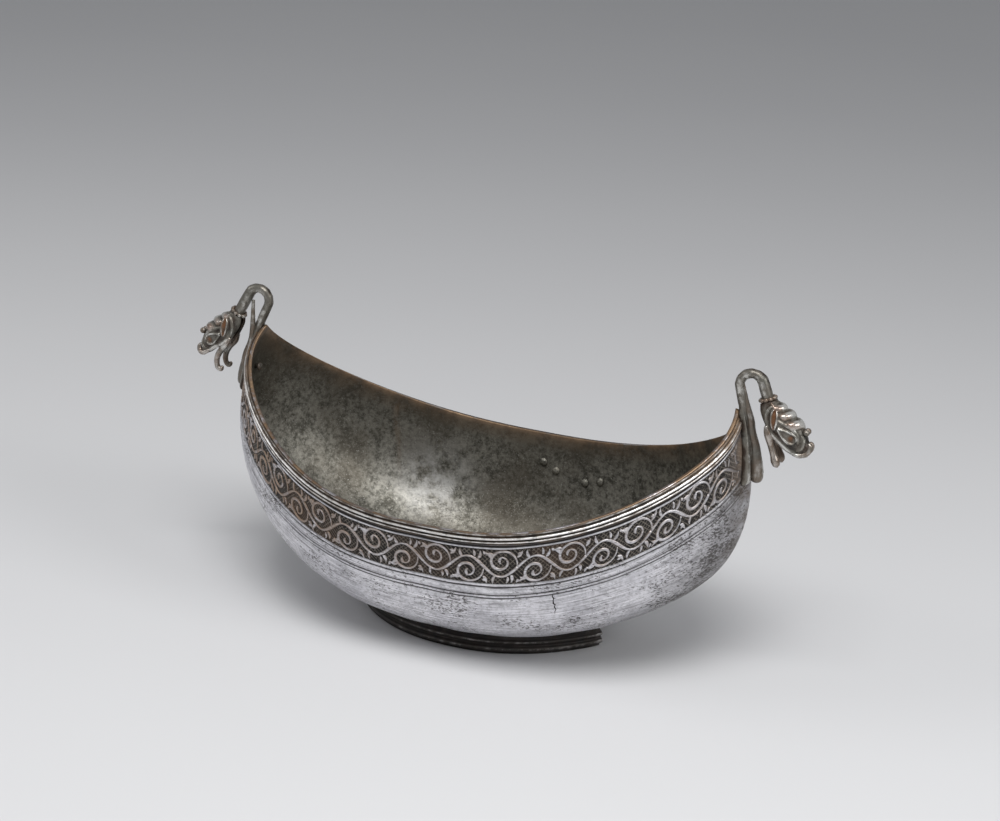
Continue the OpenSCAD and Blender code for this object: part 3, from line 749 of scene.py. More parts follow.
# %% [markdown]
# The foot is a lens in plan: two moulded strips, bent to arcs and mitred where they meet. Again it is a
# profile along a path, but here the profile's top changes from place to place, because it has to meet
# the hull. So each section takes its upper points from the bowl's own formula.

# %% The foot
foot_length, foot_width, tread_width = 127.0, 75.0, 2.0
foot_low_bead, foot_high_bead, foot_hollow = 2.6, 6.0, 1.4
foot_plan_power, foot_sharpness, mitre_gap = 2.23, 0.9, 0.1
foot_seat_side, foot_seat_tip, foot_seat_band = 0.26, 0.33, 0.05
tread_back, high_bead_back, inner_lean = 1.6, 0.4, 1.8


def foot_point(angle, inset, z):
    """A point of the foot's lens plan, drawn in by inset, at the height z."""
    c = np.cos(angle)
    plan = np.maximum(0, 1 - np.abs(c)**foot_plan_power)**foot_sharpness
    across = np.sign(np.sin(angle))*(foot_width/2 - inset)*plan
    return np.stack(np.broadcast_arrays((foot_length/2 - inset)*c, across, z), -1)


bead_turn = np.linspace(-np.pi/2, np.pi/2, 9)
bead_in, bead_rise = foot_hollow*(1 - np.cos(bead_turn)), np.sin(bead_turn)
low_bead = np.stack([0.8*bead_in, foot_low_bead + 1.15*bead_rise], -1)
high_bead = np.stack([high_bead_back + 0.7*bead_in, foot_high_bead + 0.9*bead_rise], -1)
tread = [[tread_width + tread_back, 0.0], [tread_back + 0.3, 0.0], [tread_back, 0.25], [tread_back, 0.9],
         [foot_hollow*0.9, 1.15]]
foot_outline = np.concatenate([tread, low_bead, [[foot_hollow, 4.3]], high_bead, [[foot_hollow + 0.1, 7.3]]])
bead_worn = 0.62*np.cos(bead_turn)**2
foot_worn = np.concatenate([[0.1, 0.1, 0.2, 0.1, 0.05], bead_worn, [0.0], bead_worn, [0.05], [0.1]*4])


def foot_strip(place, side, stations=200):
    """The foot's profile carried along one arc of the lens, closed up against the hull."""
    s = np.linspace(-1, 1, stations)[:, None]
    angle = np.pi/2 + np.pi/2*np.sign(s)*np.abs(s)**0.85 + (np.pi if side < 0 else 0)
    share = foot_seat_side + (foot_seat_tip - foot_seat_side)*np.cos(angle)**2
    drop = np.array([0, 0, solder_gap])
    seat = skin(angle, share, 0.0) - drop
    inner_seat = skin(angle, share - foot_seat_band, 0.0) - drop
    lower = foot_point(angle, *foot_outline.T)
    waist = (lower[:, -1:] + seat)/2
    inner = foot_point(angle, tread_width + tread_back + inner_lean, foot_high_bead)
    rings = np.concatenate([lower, waist, seat, inner_seat, inner], axis=1)
    rings[..., 1] += side*mitre_gap
    points, faces = loft(rings)
    # painted glints on the foot's two tips
    tip_glints = 0.7*np.abs(np.cos(angle))**40
    worn = np.clip(foot_worn*(1 + tip_glints) + 0.4*tip_glints, 0, 1)
    make_piece(place + "_foot_strip", points, faces, shaded_foot_bronze, ["foot_" + place],
               {"worn": worn, "stain": 0.2})


for place, side in long_sides:
    foot_strip(place, side)

# %% [markdown]
# Hooks and heads need round, tapering shapes. A limb is a tube along a smooth line of stops, each with
# its own radius, so one helper makes the fingers of the straps, the snouts and the jaws.

# %% Smooth lines and limbs
def unit(vectors):
    """The vectors with their lengths made 1."""
    return vectors/(np.linalg.norm(vectors, axis=-1, keepdims=True) + 1e-9)


def soft_step(value, low, high):
    """0 at low, 1 at high and smooth between; low may be the larger one."""
    x = np.clip((value - low)/(high - low), 0, 1)
    return x*x*(3 - 2*x)


def smooth_line(stops, count):
    """A line through the stops: between two stops it is a cubic that starts and ends in the direction
    from the stop before to the stop after."""
    stops = np.asarray(stops, float)
    padded = np.concatenate([2*stops[:1] - stops[1:2], stops, 2*stops[-1:] - stops[-2:-1]])
    s = np.linspace(0, len(stops) - 1 - 1e-9, count)
    i = s.astype(int)
    f = (s - i)[:, None]
    p0, p1, p2, p3 = (padded[i + k] for k in range(4))
    return 0.5*(2*p1 + (p2 - p0)*f + (2*p0 - 5*p1 + 4*p2 - p3)*f**2 + (3*p1 - p0 - 3*p2 + p3)*f**3)


def limb(stops, count, around=12):
    """Points, faces and the field worn of a tube along a smooth line of stops (out, y, up, radius); worn is a
    painted highlight, high on the side away from the middle plane and on top."""
    line = smooth_line(stops, count)
    place, radius = line[:, None, :3], np.maximum(line[:, None, 3:], 0.05)
    way = unit(np.gradient(line[:, :3], axis=0))
    side = unit(np.cross(way, [0.36, 0.48, 0.8]))
    lift = np.cross(side, way)
    a = np.linspace(0, 2*np.pi, around, endpoint=False)[:, None]
    off = side[:, None]*np.cos(a) + lift[:, None]*np.sin(a)
    points, faces = loft(place + radius*off)
    outward = np.sign(line[:, 1].mean() + 1e-6)*off[..., 1]
    # painted highlight: lighter on top and on the side away from the middle plane
    worn = 0.62 + 0.28*np.maximum(outward, 0.8*off[..., 2])
    return points, faces, worn.reshape(-1)


# %% [markdown]
# Each hook is one forging. Its lower end is a leaf-shaped strap with a middle rib and two wings that
# lies on the prow, and its upper end is drawn out to a rod and bent into a loop for hanging. A loft
# does both: the sections are leaf slices at first and turn into circles further up. The rib is rounded
# like a finger and runs on as a thin tongue beside the rod, so it is a limb of its own.

# %% The outside of the prow
strap_length, stem_span = 30.5, 0.13


def prow_point(y, t):
    """The right prow's outside at the distance y from the stem."""
    c = np.maximum(0, 1 - (np.abs(y)/cross_run(t, 0.0))**(1/sharpness(t)))**(1/plan_power)
    return skin_at(c, np.sign(y), t, 0.0)


def prow_out(y, t, proud, step=0.05):
    """The same point pushed straight out from the wall."""
    slope = (prow_point(y + step, t)[..., 0] - prow_point(y - step, t)[..., 0])/(2*step)
    out = unit(np.stack([np.ones_like(slope), -slope, np.zeros_like(slope)], -1))
    return prow_point(y, t) + out*np.asarray(proud)[..., None]


rim_tip = prow_point(0.0, 1.0)
stem_run = np.linalg.norm(rim_tip - prow_point(0.0, 1 - stem_span))/stem_span


def strap_share(u):
    """The share t on the stem at the share u of the way up the strap."""
    return 1 - strap_length*(1 - u)/stem_run


print("a strap covers the upper", round(100*strap_length/stem_run), "% of the way from keel to rim")

# %% Slices of the strap
strap_half_width, rib_proud, wing_proud = 9.6, 6.3, 2.4
strap_round, width_round, thickness_round = 0.14, 0.99, 0.985
rib_spread, strap_edge, crowding = -0.3, 0.3, 0.6
hook_points = 20
across_hook = np.arange(-hook_points, hook_points + 1)/hook_points


def rib_height(u):
    """Height of the strap's rib, which falls to the rod's diameter at the top."""
    return rod_d + (rib_proud - rod_d)*np.cos(np.pi/2*u)


def rounded(u, share):
    """Factor that rounds off the strap's lower end."""
    return np.where(u < strap_round, np.sqrt(np.maximum(0, 1 - share*(1 - u/strap_round)**2)), 1.0)


def half_round(share):
    """Height of a half circle at a share of its radius."""
    return np.sqrt(np.maximum(0, 1 - share**2))


def strap_shape(y, half, u):
    """Thickness of the strap, the higher of the half-round rib and the half-round wing beside it, and the
    share of the full height that it has there."""
    rib_half = rod_d/2 + rib_spread*(1 - u)
    wing_half = np.maximum(0.1, (half - rib_half)/2)
    rib_share = half_round(y/rib_half)
    wing_share = half_round((np.abs(y) - (half + rib_half)/2)/wing_half)
    thick = np.maximum(np.maximum(rib_height(u)*rib_share, wing_proud*wing_share), strap_edge)
    return rounded(u, thickness_round)*thick, np.maximum(rib_share, wing_share)


def leaf_sections(stations=72):
    """Slices of the strap from its lower end up, and the field worn, which holds wear and painted highlights:
    the outer face over the width, and the back."""
    u = np.linspace(0, 1, stations)[:, None]**1.25
    half = (strap_half_width + (rod_d/2 - strap_half_width)*u)*rounded(u, width_round)
    y = half*(crowding*np.sin(np.pi/2*across_hook) + (1 - crowding)*across_hook)
    t = strap_share(u)
    thick, share = strap_shape(y, half, u)
    face = prow_out(y, t, solder_gap + thick)
    inner = y[:, -2:0:-1]
    back = prow_out(inner, t, np.full_like(inner, solder_gap))
    # Bright on the crests of rib and wings and dark between them, partly wear and partly painted light; the
    # lower end gets a painted highlight
    face_wear_and_highlight = 0.05 + 0.66*share**2 + 0.3*np.exp(-(u/0.1)**2)
    return np.concatenate([face, back], axis=1), np.concatenate([face_wear_and_highlight, 0.2 + 0*inner], axis=1)


# %% The finger of the strap
finger_stations = 110
# Stops of the finger up the strap: share of the way up, radius, and depth below the rib's height
finger_u = np.array([-0.07, -0.058, -0.03, 0.03, 0.15, 0.33, 0.5])
finger_r = np.array([0.3, 1.45, 2.4, 3.0, 2.9, 2.5, 2.1])
finger_sunk = np.array([3.5, 3.5, 3.5, 3.5, 3.3, 2.8, 2.1])
tongue_stops = {
    "right": [(124.6, 0, 117.0, 1.9), (123.7, 0, 121.9, 1.7), (121.3, 0, 129.3, 1.15),
              (119.75, 0, 135.0, 0.75), (118.9, 0, 139.0, 0.3)],
    "left": [(124.6, 0, 116.5, 1.9), (124.1, 0, 122.5, 1.5), (124.2, 0, 127.5, 1.15),
             (124.2, 0, 132.0, 0.95), (124.1, 0, 137.0, 0.8)]}


def finger(side):
    """The rounded rib as a limb: up the strap, its middle sunk below the rib's height, and on as the
    tongue."""
    low = prow_out(0*finger_u, strap_share(finger_u), solder_gap + rib_height(finger_u) - finger_sunk)
    return limb(np.concatenate([np.column_stack([low, finger_r]), tongue_stops[side]]), finger_stations)


# %% The path of the rod
loop_r, loop_leg, loop_turn = 5.5, 10.4, 175.0
hook_leans = {"left": 24.0, "right": 16.0}
neck_legs = {"left": 13.0, "right": 8.1}
socket_depth, fit_clearance = 5.0, 0.15
leg_stations, loop_stations, neck_stations = 8, 72, 12


def rod_line(side):
    """Places and directions along the rod: up the leg, round the loop and down into the head's socket."""
    lean = np.radians(hook_leans[side])
    leg_way = np.array([-np.sin(lean), 0, np.cos(lean)])
    foot_at = rim_tip + np.array([solder_gap + rod_d/2, 0, 0])
    centre = foot_at + loop_leg*leg_way + loop_r*np.array([np.cos(lean), 0, np.sin(lean)])
    leg = foot_at + np.linspace(0.25, 0.95, leg_stations)[:, None]*loop_leg*leg_way
    a = np.pi + lean - np.linspace(0, 1, loop_stations)*np.radians(loop_turn)
    arc = centre + loop_r*np.stack([np.cos(a), 0*a, np.sin(a)], -1)
    arc_way = np.stack([np.sin(a), 0*a, -np.cos(a)], -1)
    reach = neck_legs[side] + socket_depth - fit_clearance
    neck = arc[-1] + np.linspace(0.08, 1, neck_stations)[:, None]*reach*arc_way[-1]
    ways = [np.tile(leg_way, (leg_stations, 1)), arc_way, np.tile(arc_way[-1], (neck_stations, 1))]
    return np.concatenate([leg, arc, neck]), np.concatenate(ways)


def neck_end(side):
    """The place where the rod enters the head, short of its end by the socket's depth, and its direction."""
    places, ways = rod_line(side)
    return places[-1] - (socket_depth - fit_clearance)*ways[-1], ways[-1]


def across_rod(way, turn):
    """Directions square to the rod at an angle round it: outwards in its plane at 0, then along y."""
    out = np.stack([way[..., 2], 0*way[..., 0], -way[..., 0]], -1)[..., None, :]
    return out*np.cos(turn)[:, None] + np.array([0, 1, 0])*np.sin(turn)[:, None]


def mirrored(points, side):
    """The points themselves on the right, or their mirror image on the left."""
    return points*np.array([1 if side == "right" else -1, 1, 1])


for side in ("left", "right"):
    print("the", side, "rod enters its head at", neck_end(side)[0].round(1), "mm, seen as a right one")

# %% The hooks
# The neck swells over these stations of the rod and thins again inside the head
neck_swell, swell_rise, swell_fall = 0.22, (52, 82), (90, 87)
rod_stain, finger_stain = 0.08, 0.25


def hook(side):
    """The leaf slices and the rod's circles, a little uneven from the hammer, as one loft, and the finger
    with its tongue."""
    slices, strap_wear_and_highlight = leaf_sections()
    places, ways = rod_line(side)
    turn = np.concatenate([np.pi/2*across_hook, np.pi - np.pi/2*across_hook[-2:0:-1]])
    s = np.arange(len(places))
    radius = rod_d/2*(1 + 0.02*np.sin(s*0.55) - 0.015*np.cos(s*0.23))
    radius *= 1 + neck_swell*soft_step(s, *swell_rise)*soft_step(s, *swell_fall)
    circles = places[:, None] + radius[:, None, None]*across_rod(ways, turn)
    forging = loft(np.concatenate([slices, circles]))
    # painted light round the rod: lighter on its two sides, darkest on the inside of the bend
    rod_painted_light = np.tile(0.5 - 0.14*np.cos(2*turn) + 0.14*np.cos(turn), len(places))
    *tongue, tongue_highlight = finger(side)
    points, faces = joined([forging, tongue])
    worn = np.concatenate([strap_wear_and_highlight.reshape(-1), rod_painted_light, 0.85*tongue_highlight])
    stain = np.where(np.arange(len(worn)) < len(forging[0]), rod_stain, finger_stain)
    make_piece(side + "_forged_hook", mirrored(points, side), faces, cast_bronze,
               [side + "_hook"], {"worn": worn, "stain": stain})


for side in ("left", "right"):
    hook(side)

# %% [markdown]
# A beaded wire is wound round the rod where it enters the head. A ring whose thickness swells and
# shrinks ten times on the way round gives the beads in one grid, with no joints between them.

# %% The collars
collar_d, collar_beads, bead_waist = 8.6, 10, 0.5


def collar(side, around=160, across=14):
    """A ring round the rod whose radius swells once per bead."""
    end, way = neck_end(side)
    bore = rod_d/2 + 2*fit_clearance
    full = (collar_d/2 - bore)/2
    turn = np.linspace(0, 2*np.pi, around, endpoint=False)
    section = np.linspace(0, 2*np.pi, across, endpoint=False)
    swell = np.abs(np.sin(turn*collar_beads/2))[:, None]**0.5
    r = full*(bead_waist + (1 - bead_waist)*swell)
    distance = bore + r + r*np.cos(section)
    middle = end - (collar_d - rod_d)/4*way
    points = middle + distance[..., None]*across_rod(way, turn)[:, None] + (r*np.sin(section))[..., None]*way
    quads = ring_quads(around + 1, across) % (around*across)
    worn = 0.15 + 0.55*swell*(0.5 + 0.5*np.cos(section))
    make_piece(side + "_beaded_collar", mirrored(points.reshape(-1, 3), side), quads.tolist(), cast_bronze,
               [side + "_collar"], {"worn": worn, "stain": 0.35})


for side in ("left", "right"):
    collar(side)

# %% [markdown]
# The dragons' heads were cast hollow and finished with a file and a chisel. A sculptor would start from
# clay; here the skull is a loft of open rings, and eye, ear, brow, lip and locks of hair are a relief: a
# height over the skull at each place of its side view, out and up from the end of the neck. So all of
# it is one skin, as in a casting. Only the jaws, the snout and the nostrils are limbs and balls of their
# own. The two castings aren't quite alike: the left one gapes more.

# %% The skull: an open shell from the socket to the snout
head_shell, shell_stop, least_hollow = 1.5, 148.0, 0.3
# Stops of the skull: crest and throat, each out and up, and half width
skull_back = [[5.0, -0.6, -2.9, -5.8, 4.5], [9.2, -2.9, 0.4, -12.0, 5.6], [13.6, -6.2, 4.4, -16.6, 5.5]]
skull_stops = {
    "right": skull_back + [[16.9, -9.8, 9.2, -20.2, 4.7], [18.4, -13.4, 13.4, -21.9, 3.9],
                           [20.4, -16.4, 17.6, -22.0, 2.9], [21.5, -18.2, 20.4, -20.6, 1.3]],
    "left": skull_back + [[16.7, -10.2, 9.0, -18.2, 4.7], [18.0, -14.6, 13.2, -20.4, 3.9],
                          [19.6, -18.0, 16.6, -22.6, 2.9], [20.4, -20.0, 19.2, -22.4, 1.3]]}


def skull_line(side, way, stations):
    """Crest, throat and half width along the skull, smooth through the socket and the stops."""
    r = rod_d/2 + 2*fit_clearance + head_shell
    socket = np.array([-way[2]*r, way[0]*r, way[2]*r, -way[0]*r, r])
    line = smooth_line(np.concatenate([socket[None], skull_stops[side]]), stations)
    return line[:, 0:2], line[:, 2:4], line[:, 4]


def skull_arc(crest, throat, wide, turn, tall_share):
    """Arcs between crest and throat: an ellipse in the plane of the two points, wide across."""
    mid, reach = (crest + throat)/2, (crest - throat)/2
    flat = mid[:, None] + reach[:, None]*(np.cos(turn)*tall_share[:, None])[..., None]
    return np.stack([flat[..., 0], wide[:, None]*np.sin(turn), flat[..., 1]], -1)


# %% Relief of the head: drops and ridges
def drop_place(flat, middle, heading, length, height, point):
    """How far a place of the side view lies from the middle line of a drop, as a share of the drop's half
    height there. The drop is round at its front and, with a higher power, pointed at its back."""
    h = np.radians(heading)
    off = flat - np.array(middle)
    p, q = off @ np.array([np.cos(h), np.sin(h)]), off @ np.array([-np.sin(h), np.cos(h)])
    c = np.clip(p/length, -1, 1)
    half = height*np.sqrt(1 - c*c)*((1.15 + c)/2)**point
    return np.abs(q)/(half + 0.01) + 10*(np.abs(p) > length), half


def drop_rise(flat, drop, dome, rim=0.6):
    """A raised rim along the drop's outline, and a dome (or with a minus, a hollow) inside it."""
    share, half = drop_place(flat, *drop)
    beside = share < 9
    from_rim = (share - 1)*(half + 0.01)
    ring = 0.95*half_round(from_rim/rim)*beside
    inside = half_round(share)
    groove = -0.45*np.exp(-((from_rim - 1.15)/0.4)**2)*beside
    return np.where(ring > 0, np.maximum(ring, dome*inside), dome*inside + groove), inside


def ridge_rise(flat, stops):
    """A half-round ridge along a smooth line of (out, up, half width), with a chased line on both sides."""
    line = smooth_line(stops, 60)
    off = np.linalg.norm(flat[:, :, None] - line[:, :2], axis=3)/line[:, 2]
    width = line[off.argmin(2), 2]
    off = off.min(2)
    return width*(0.85*half_round(off) - 0.35*np.exp(-((off - 1.3)/0.3)**2)*(off > 1))


# %% Relief of the head: ear, eye, mane, ridges and lip
ear_drop = ((4.5, -6.5), 96, 4.2, 1.35, 0.25)
eye_drop = ((10.5, -12.5), -33, 4.8, 2.8, 0.7)
ear_hollow, eye_dome = -0.9, 0.35
pupil_at, pupil_r = np.array([12.7, -13.6]), 1.15
ridges = {
    "neck": [(4.4, 0.2, 0.5), (1.8, -2.0, 0.75), (0.7, -5.0, 0.8), (0.9, -8.2, 0.75), (2.2, -12.0, 0.6)],
    "brow": [(6.2, -6.6, 0.5), (9.8, -8.0, 0.8), (13.2, -10.0, 0.85), (15.2, -12.6, 0.8), (15.6, -15.4, 0.6)],
    "nose": [(17.0, -12.6, 0.5), (17.8, -15.0, 0.8), (17.4, -17.6, 0.75), (15.4, -19.0, 0.5)]}
lock_start, lock_step, lock_slant, lock_count = 5.3, 4.1, 2.2/60, 3
mane_edge, mane_brown = (66, 52), (18, 38)
lip_turn, lip_half, lip_height, lip_from = 133, 14, 1.1, (8.5, 12)


def head_relief(outer, crest, a):
    """Height of the relief on the skull, and how brown the place is: the highest form wins, or else the
    deepest line, and the ear's hollow and the eye cut through the rest."""
    flat, turn = outer[..., ::2], np.degrees(np.abs(a))
    lock = (crest[:, :1] + lock_slant*turn - lock_start)/lock_step
    wave = np.abs(np.sin(np.pi*lock))**0.75
    mane = (soft_step(turn, *mane_edge)*soft_step(lock, -0.15, 0.05)
            *soft_step(lock, lock_count + 0.1, lock_count - 0.1))
    pit = np.exp(-(np.linalg.norm(flat - pupil_at, axis=2)/pupil_r)**2)
    ear, ear_inside = drop_rise(flat, ear_drop, ear_hollow)
    eye, eye_inside = drop_rise(flat, eye_drop, eye_dome)
    eye = eye - pit
    rises = np.stack([ear, eye, (1.75*wave - 0.35)*mane]
                     + [ridge_rise(flat, stops) for stops in ridges.values()])
    rise = np.where(rises.max(0) > 0.02, rises.max(0), rises.min(0))
    rise = np.where(ear_inside > 0, ear, np.where(eye_inside > 0, eye, rise))
    snout = soft_step(outer[..., 0].max(1), *lip_from)[:, None]
    lip = lip_height*half_round((turn - lip_turn)/lip_half)*snout
    brown_locks = 0.7*mane*soft_step(turn, *mane_brown)*soft_step(wave, 0.4, 0.8)
    return np.maximum(rise, lip), np.maximum(np.maximum(ear_inside, pit), brown_locks)


# %% The skull with its relief
plain_socket, plain_tip = (2, 10), (2, 12)


def skull(side, way, stations=150, half=66):
    """Rings that stay open at the throat, outside with the relief and back along the plain inside."""
    crest, throat, wide = skull_line(side, way, stations)
    tall = np.linalg.norm(crest - throat, axis=1)/2
    a = np.radians(shell_stop)*np.linspace(-1, 1, 2*half + 1)
    outer = skull_arc(crest, throat, wide, a, np.ones(stations))
    normal = unit(np.cross(np.gradient(outer, axis=1), np.gradient(outer, axis=0)))
    normal *= np.sign((normal[..., 1]*np.sin(a)).sum())
    rise, brown = head_relief(outer, crest, a)
    s = np.arange(stations)[:, None]
    rise *= soft_step(s, *plain_socket)*soft_step(stations - s, *plain_tip)
    inner_wide = np.maximum(least_hollow*wide, wide - head_shell)
    inner_share = np.maximum(least_hollow*tall, tall - head_shell)/tall
    inner = skull_arc(crest, throat, inner_wide, a[::-1], inner_share)
    points, faces = loft(np.concatenate([outer + normal*rise[..., None], inner], axis=1))
    plain = np.ones(inner.shape[:2])
    worn = np.concatenate([np.clip(0.2 + 0.62*rise, 0.0, 0.9), 0.08*plain], axis=1)
    stain = np.concatenate([0.1 + 0.85*brown, 0.3*plain], axis=1)
    return points, faces, worn.reshape(-1), stain.reshape(-1)


# %% Jaws, snouts and nostrils
nostril_out, nostril_apart, nostril_up, nostril_r = 18.3, 1.4, -11.0, 1.5
snout_stops = {
    "right": [(13.6, 3.2, -20.8, 0.8), (16.8, 2.9, -21.2, 1.15), (19.4, 2.0, -20.0, 1.3),
              (20.5, 1.3, -18.2, 1.3), (20.5, 1.1, -16.7, 1.25), (19.6, 1.0, -15.7, 0.7)],
    "left": [(13.6, 3.4, -19.6, 0.8), (16.6, 2.9, -21.4, 1.15), (18.8, 2.1, -21.6, 1.35),
             (20.0, 1.4, -20.4, 1.4), (19.8, 1.2, -18.8, 1.3), (18.8, 1.0, -17.8, 0.7)]}
jaw_stops = {
    "right": [(1.0, 3.9, -10.0, 1.0), (2.2, 4.1, -13.6, 1.8), (4.2, 4.1, -19.0, 1.5),
              (5.6, 4.0, -22.8, 1.6), (6.5, 3.9, -25.2, 2.0), (7.2, 3.9, -27.0, 1.6), (7.6, 3.9, -28.0, 0.5)],
    "left": [(2.0, 4.0, -11.5, 0.9), (3.8, 4.3, -15.0, 1.6), (6.4, 4.3, -18.0, 1.55),
             (8.4, 4.2, -21.4, 1.45), (9.0, 4.1, -24.6, 1.35), (8.4, 4.1, -27.0, 1.3),
             (7.0, 4.1, -27.8, 1.35), (6.2, 4.1, -26.9, 1.1), (6.3, 4.1, -26.2, 0.4)]}


def nostril(y, count=18, around=24):
    """A ball on one side (1 or -1) of the snout, from rings round its y axis, with the field worn as a
    painted highlight, lighter on top.
    """
    v = np.linspace(0.06, np.pi - 0.06, count)[:, None]
    a = np.linspace(0, 2*np.pi, around, endpoint=False)
    out, up = np.sin(v)*np.cos(a), np.sin(v)*np.sin(a)
    ball = np.stack(np.broadcast_arrays(out, -np.cos(v), up), -1)
    points, faces = loft(np.array([nostril_out, nostril_apart*y, nostril_up]) + nostril_r*ball)
    # painted highlight: the ball is lighter on top
    return points, faces, (0.6 + 0.25*up).reshape(-1)


# %% The dragon heads
limb_stations, limb_highlight, limb_stain = 56, 0.85, 0.35


def dragon_head(side):
    """The skull, jaws, snout and nostrils as one casting, set on the end of the rod."""
    end, way = neck_end(side)
    *shell, shell_worn, shell_stain = skull(side, way)
    parts = []
    for y in (1, -1):
        flip = np.array([1, y, 1, 1])
        parts += [limb(stops[side]*flip, limb_stations) for stops in (snout_stops, jaw_stops)]
        parts.append(nostril(y))
    points, faces = joined([shell] + [part[:2] for part in parts])
    worn = np.concatenate([shell_worn] + [limb_highlight*part[2] for part in parts])
    stain = np.concatenate([shell_stain, np.full(len(worn) - len(shell_stain), limb_stain)])
    make_piece(side + "_cast_dragon_head", mirrored(points + end, side), faces, cast_bronze,
               [side + "_dragon_head"], {"worn": worn, "stain": stain})


for side in ("left", "right"):
    dragon_head(side)

# %% [markdown]
# A rivet holds each strap to its prow, and four more sit in the back wall, where a patch or a bracket may
# have been fixed. A rivet is a turned shape: a profile of distances from its axis and heights, spun round.

# %% Turned rivets
rivet_d, rivet_head_d, rivet_head_h = 2.2, 4.2, 1.2
peen_d, peen_h, peen_round = 3.4, 0.5, 0.2
axis_gap = 0.05


def turned(profile, middle, axis, around=28):
    """A profile of (radius, height) spun round an axis through the middle."""
    axis = unit(axis)
    across = unit(np.cross(axis, [0.3, 0.9, 0.2]))
    third = np.cross(axis, across)
    a = np.linspace(0, 2*np.pi, around, endpoint=False)[:, None]
    r, h = profile[:, :1, None], profile[:, 1:, None]
    return loft(middle + h*axis + r*(across*np.cos(a) + third*np.sin(a)))


def rivet_profile(seat, tail, peened):
    """Tail, shank and domed head, from a negative height to the head above the seat; the tail is peened
    or plain."""
    a = np.linspace(0, np.pi/2, 8)
    head = np.stack([rivet_head_d/2*np.cos(a) + 0.02, seat + rivet_head_h*np.sin(a)], -1)
    peen = [(peen_d/2 - peen_round, -tail), (peen_d/2, -tail + peen_round), (peen_d/2, -tail + peen_h)]
    end = [(axis_gap, -tail)] + (peen if peened else [(rivet_d/2, -tail)])
    shank = [(rivet_d/2, -tail + peen_h + 0.01), (rivet_d/2, seat)]
    return np.concatenate([np.array(end + shank), head])


# %% The rivets in their places
strap_rivet_depth, flush_depth = 21.0, 0.7
# Places of the wall rivets: angle round the plan and share of the way up
wall_rivet_places = ((89, 0.905), (86, 0.88), (79, 0.855), (75.5, 0.868))
angle_step, share_step = 0.004, 0.002
rivet_band = 20


def strap_rivet(side):
    """A rivet through the strap's rib and the prow, headed inside and filed flush outside."""
    rib = rib_height(1 - strap_rivet_depth/strap_length)
    middle = prow_point(0.0, 1 - strap_rivet_depth/stem_run)
    profile = rivet_profile(wall*prow_wall_factor + rivet_head_d/2, solder_gap + rib - flush_depth, False)
    points, faces = turned(profile, middle, np.array([-1.0, 0, 0]))
    points = mirrored(points, side)
    make_piece(side + "_rivet_of_strap", points, faces, cast_bronze, [side + "_strap_rivet"],
               {"worn": 0.3, "stain": 0.2}, points[:, :2] + rivet_band)


def wall_rivet(degrees, t):
    """A rivet through the back wall, square to it, headed inside."""
    angle = np.radians(degrees)
    along = skin(angle + angle_step, t, 0.0) - skin(angle - angle_step, t, 0.0)
    up = skin(angle, t + share_step, 0.0) - skin(angle, t - share_step, 0.0)
    profile = rivet_profile(solder_gap, wall + solder_gap + peen_h, True)
    return turned(profile, skin(angle, t, wall), -np.cross(along, up))


for side in ("left", "right"):
    strap_rivet(side)
rivet_points, rivet_faces = joined([wall_rivet(*place) for place in wall_rivet_places])
make_piece("rivets_of_wall", rivet_points, rivet_faces, tin, ["wall_rivets"],
           {name: float(name == "inside") for name in tin_fields}, rivet_points[:, :2] + rivet_band)

# %% [markdown]
# A pale floor, a large soft lamp overhead in front and a weaker one on each side make a plain studio.
# Metal shows what stands round it, so the lamps are big and the floor is wide.

# %% Floor, lamps and world
floor_half = 6


def floor_finish():
    """Plain pale grey, with a trace of cloudiness so that it isn't dead flat."""
    kit = Finish("pale floor")
    grey = kit.mixed(kit.noise(kit.place, 1.5, 2), (0.60, 0.60, 0.61), (0.64, 0.64, 0.645))
    kit.feed(kit.surface["Base Color"], grey)
    kit.feed(kit.surface["Roughness"], 0.75)
    return kit.material


def stand(holder, right, up, back, place):
    """A lamp or a camera set at a place by its axes; it looks along the opposite of back."""
    axes = np.column_stack([right, up, back, place])
    holder.matrix_world = Matrix(np.vstack([axes, [0, 0, 0, 1]]).tolist())
    bpy.context.collection.objects.link(holder)


def soft_lamp(name, place, aim, size, power):
    """A square lamp at a place, turned towards its aim."""
    lamp = bpy.data.lights.new(name, "AREA")
    lamp.shape, lamp.size, lamp.energy = "SQUARE", size, power
    holder = bpy.data.objects.new(name, lamp)
    back = unit(np.array(place) - np.array(aim))
    right = unit(np.cross([0, 0, 1], back))
    stand(holder, right, np.cross(back, right), back, place)
    return holder


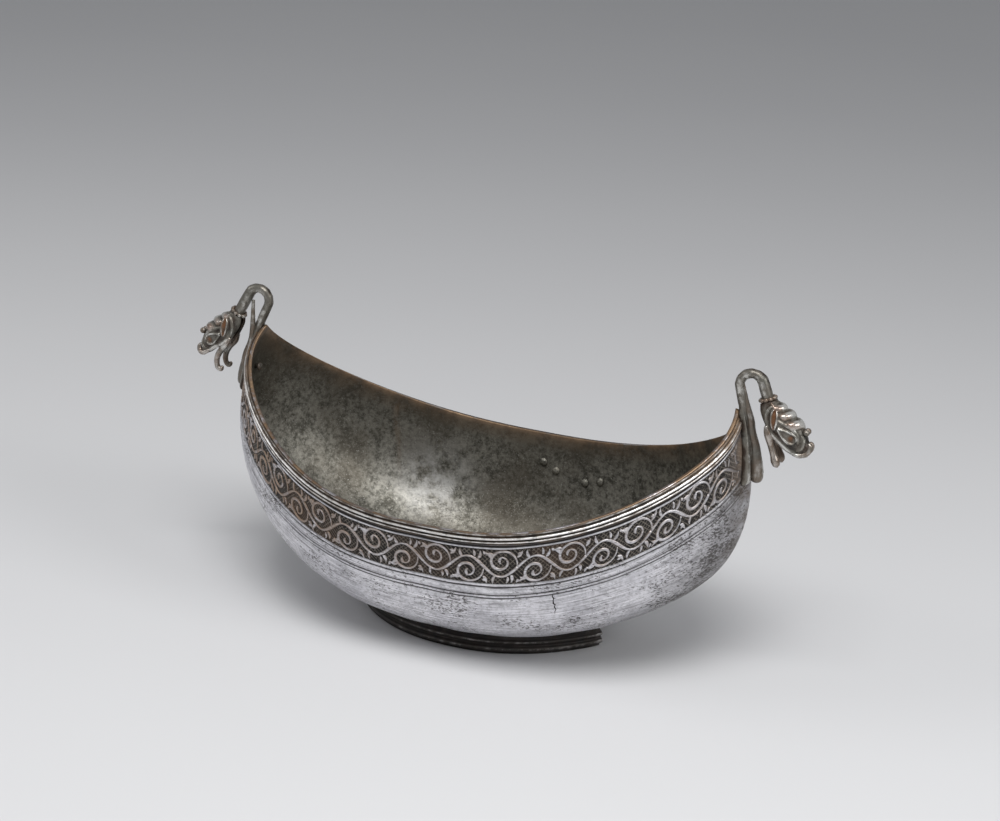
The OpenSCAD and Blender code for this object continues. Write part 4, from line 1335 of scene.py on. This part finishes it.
floor_mesh = bpy.data.meshes.new("floor")
floor_corners = [(x*floor_half, y*floor_half, 0) for x, y in ((-1, -1), (1, -1), (1, 1), (-1, 1))]
floor_mesh.from_pydata(floor_corners, [], [(0, 1, 2, 3)])
floor_mesh.materials.append(floor_finish())
floor = bpy.data.objects.new("floor", floor_mesh)
bpy.context.collection.objects.link(floor)
lamps = [soft_lamp("overhead lamp", (0.2, -0.6, 1.2), (0, 0, 0.05), 0.7, 14.0),
         soft_lamp("left lamp", (-1.2, -0.5, 0.8), (0, 0, 0.05), 0.6, 3.0),
         soft_lamp("right lamp", (1.1, -0.3, 0.7), (0, 0, 0.08), 0.5, 5.0)]
world = bpy.data.worlds.new("studio")
bpy.context.scene.world = world
world.use_nodes = True
world.node_tree.nodes["Background"].inputs["Color"].default_value = (0.55, 0.56, 0.58, 1)
world.node_tree.nodes["Background"].inputs["Strength"].default_value = 0.55
bpy.context.scene.view_settings.view_transform = "Standard"
print("the studio has", len(lamps), "lamps and a floor", 2*floor_half, "m wide")

# %% [markdown]
# The camera stands where the photographer's did. Its place was found by fitting the bowl's own formula
# to the rim, the grooves and the foot as they are seen: above the rim, a little to the right, and with
# a slight roll.

# %% The camera
view_height, view_turn, view_roll = np.radians(18.39), np.radians(22.13), np.radians(3.259)
view_distance, aim_across, aim_up = 963.608, 5.185, 104.233
focal_pixels, image_width, sensor = 2095.653, 1000, 36.0
back = np.array([np.sin(view_turn)*np.cos(view_height), -np.cos(view_turn)*np.cos(view_height),
                 np.sin(view_height)])
level = np.array([np.cos(view_turn), np.sin(view_turn), 0])
upright = np.cross(back, level)
right = np.cos(view_roll)*level + np.sin(view_roll)*upright
up = np.cos(view_roll)*upright - np.sin(view_roll)*level
place = (level*aim_across + np.array([0, 0, aim_up]) + back*view_distance)*MM
camera_data = bpy.data.cameras.new("camera")
camera_data.sensor_fit = "HORIZONTAL"
camera_data.sensor_width = sensor
camera_data.lens = focal_pixels/image_width*sensor
camera_data.clip_start, camera_data.clip_end = 0.01, 50
camera = bpy.data.objects.new("camera", camera_data)
stand(camera, right, up, back, place)
bpy.context.scene.camera = camera
print("camera lens", round(camera_data.lens, 2), "mm at", [round(float(v), 3) for v in place], "m")
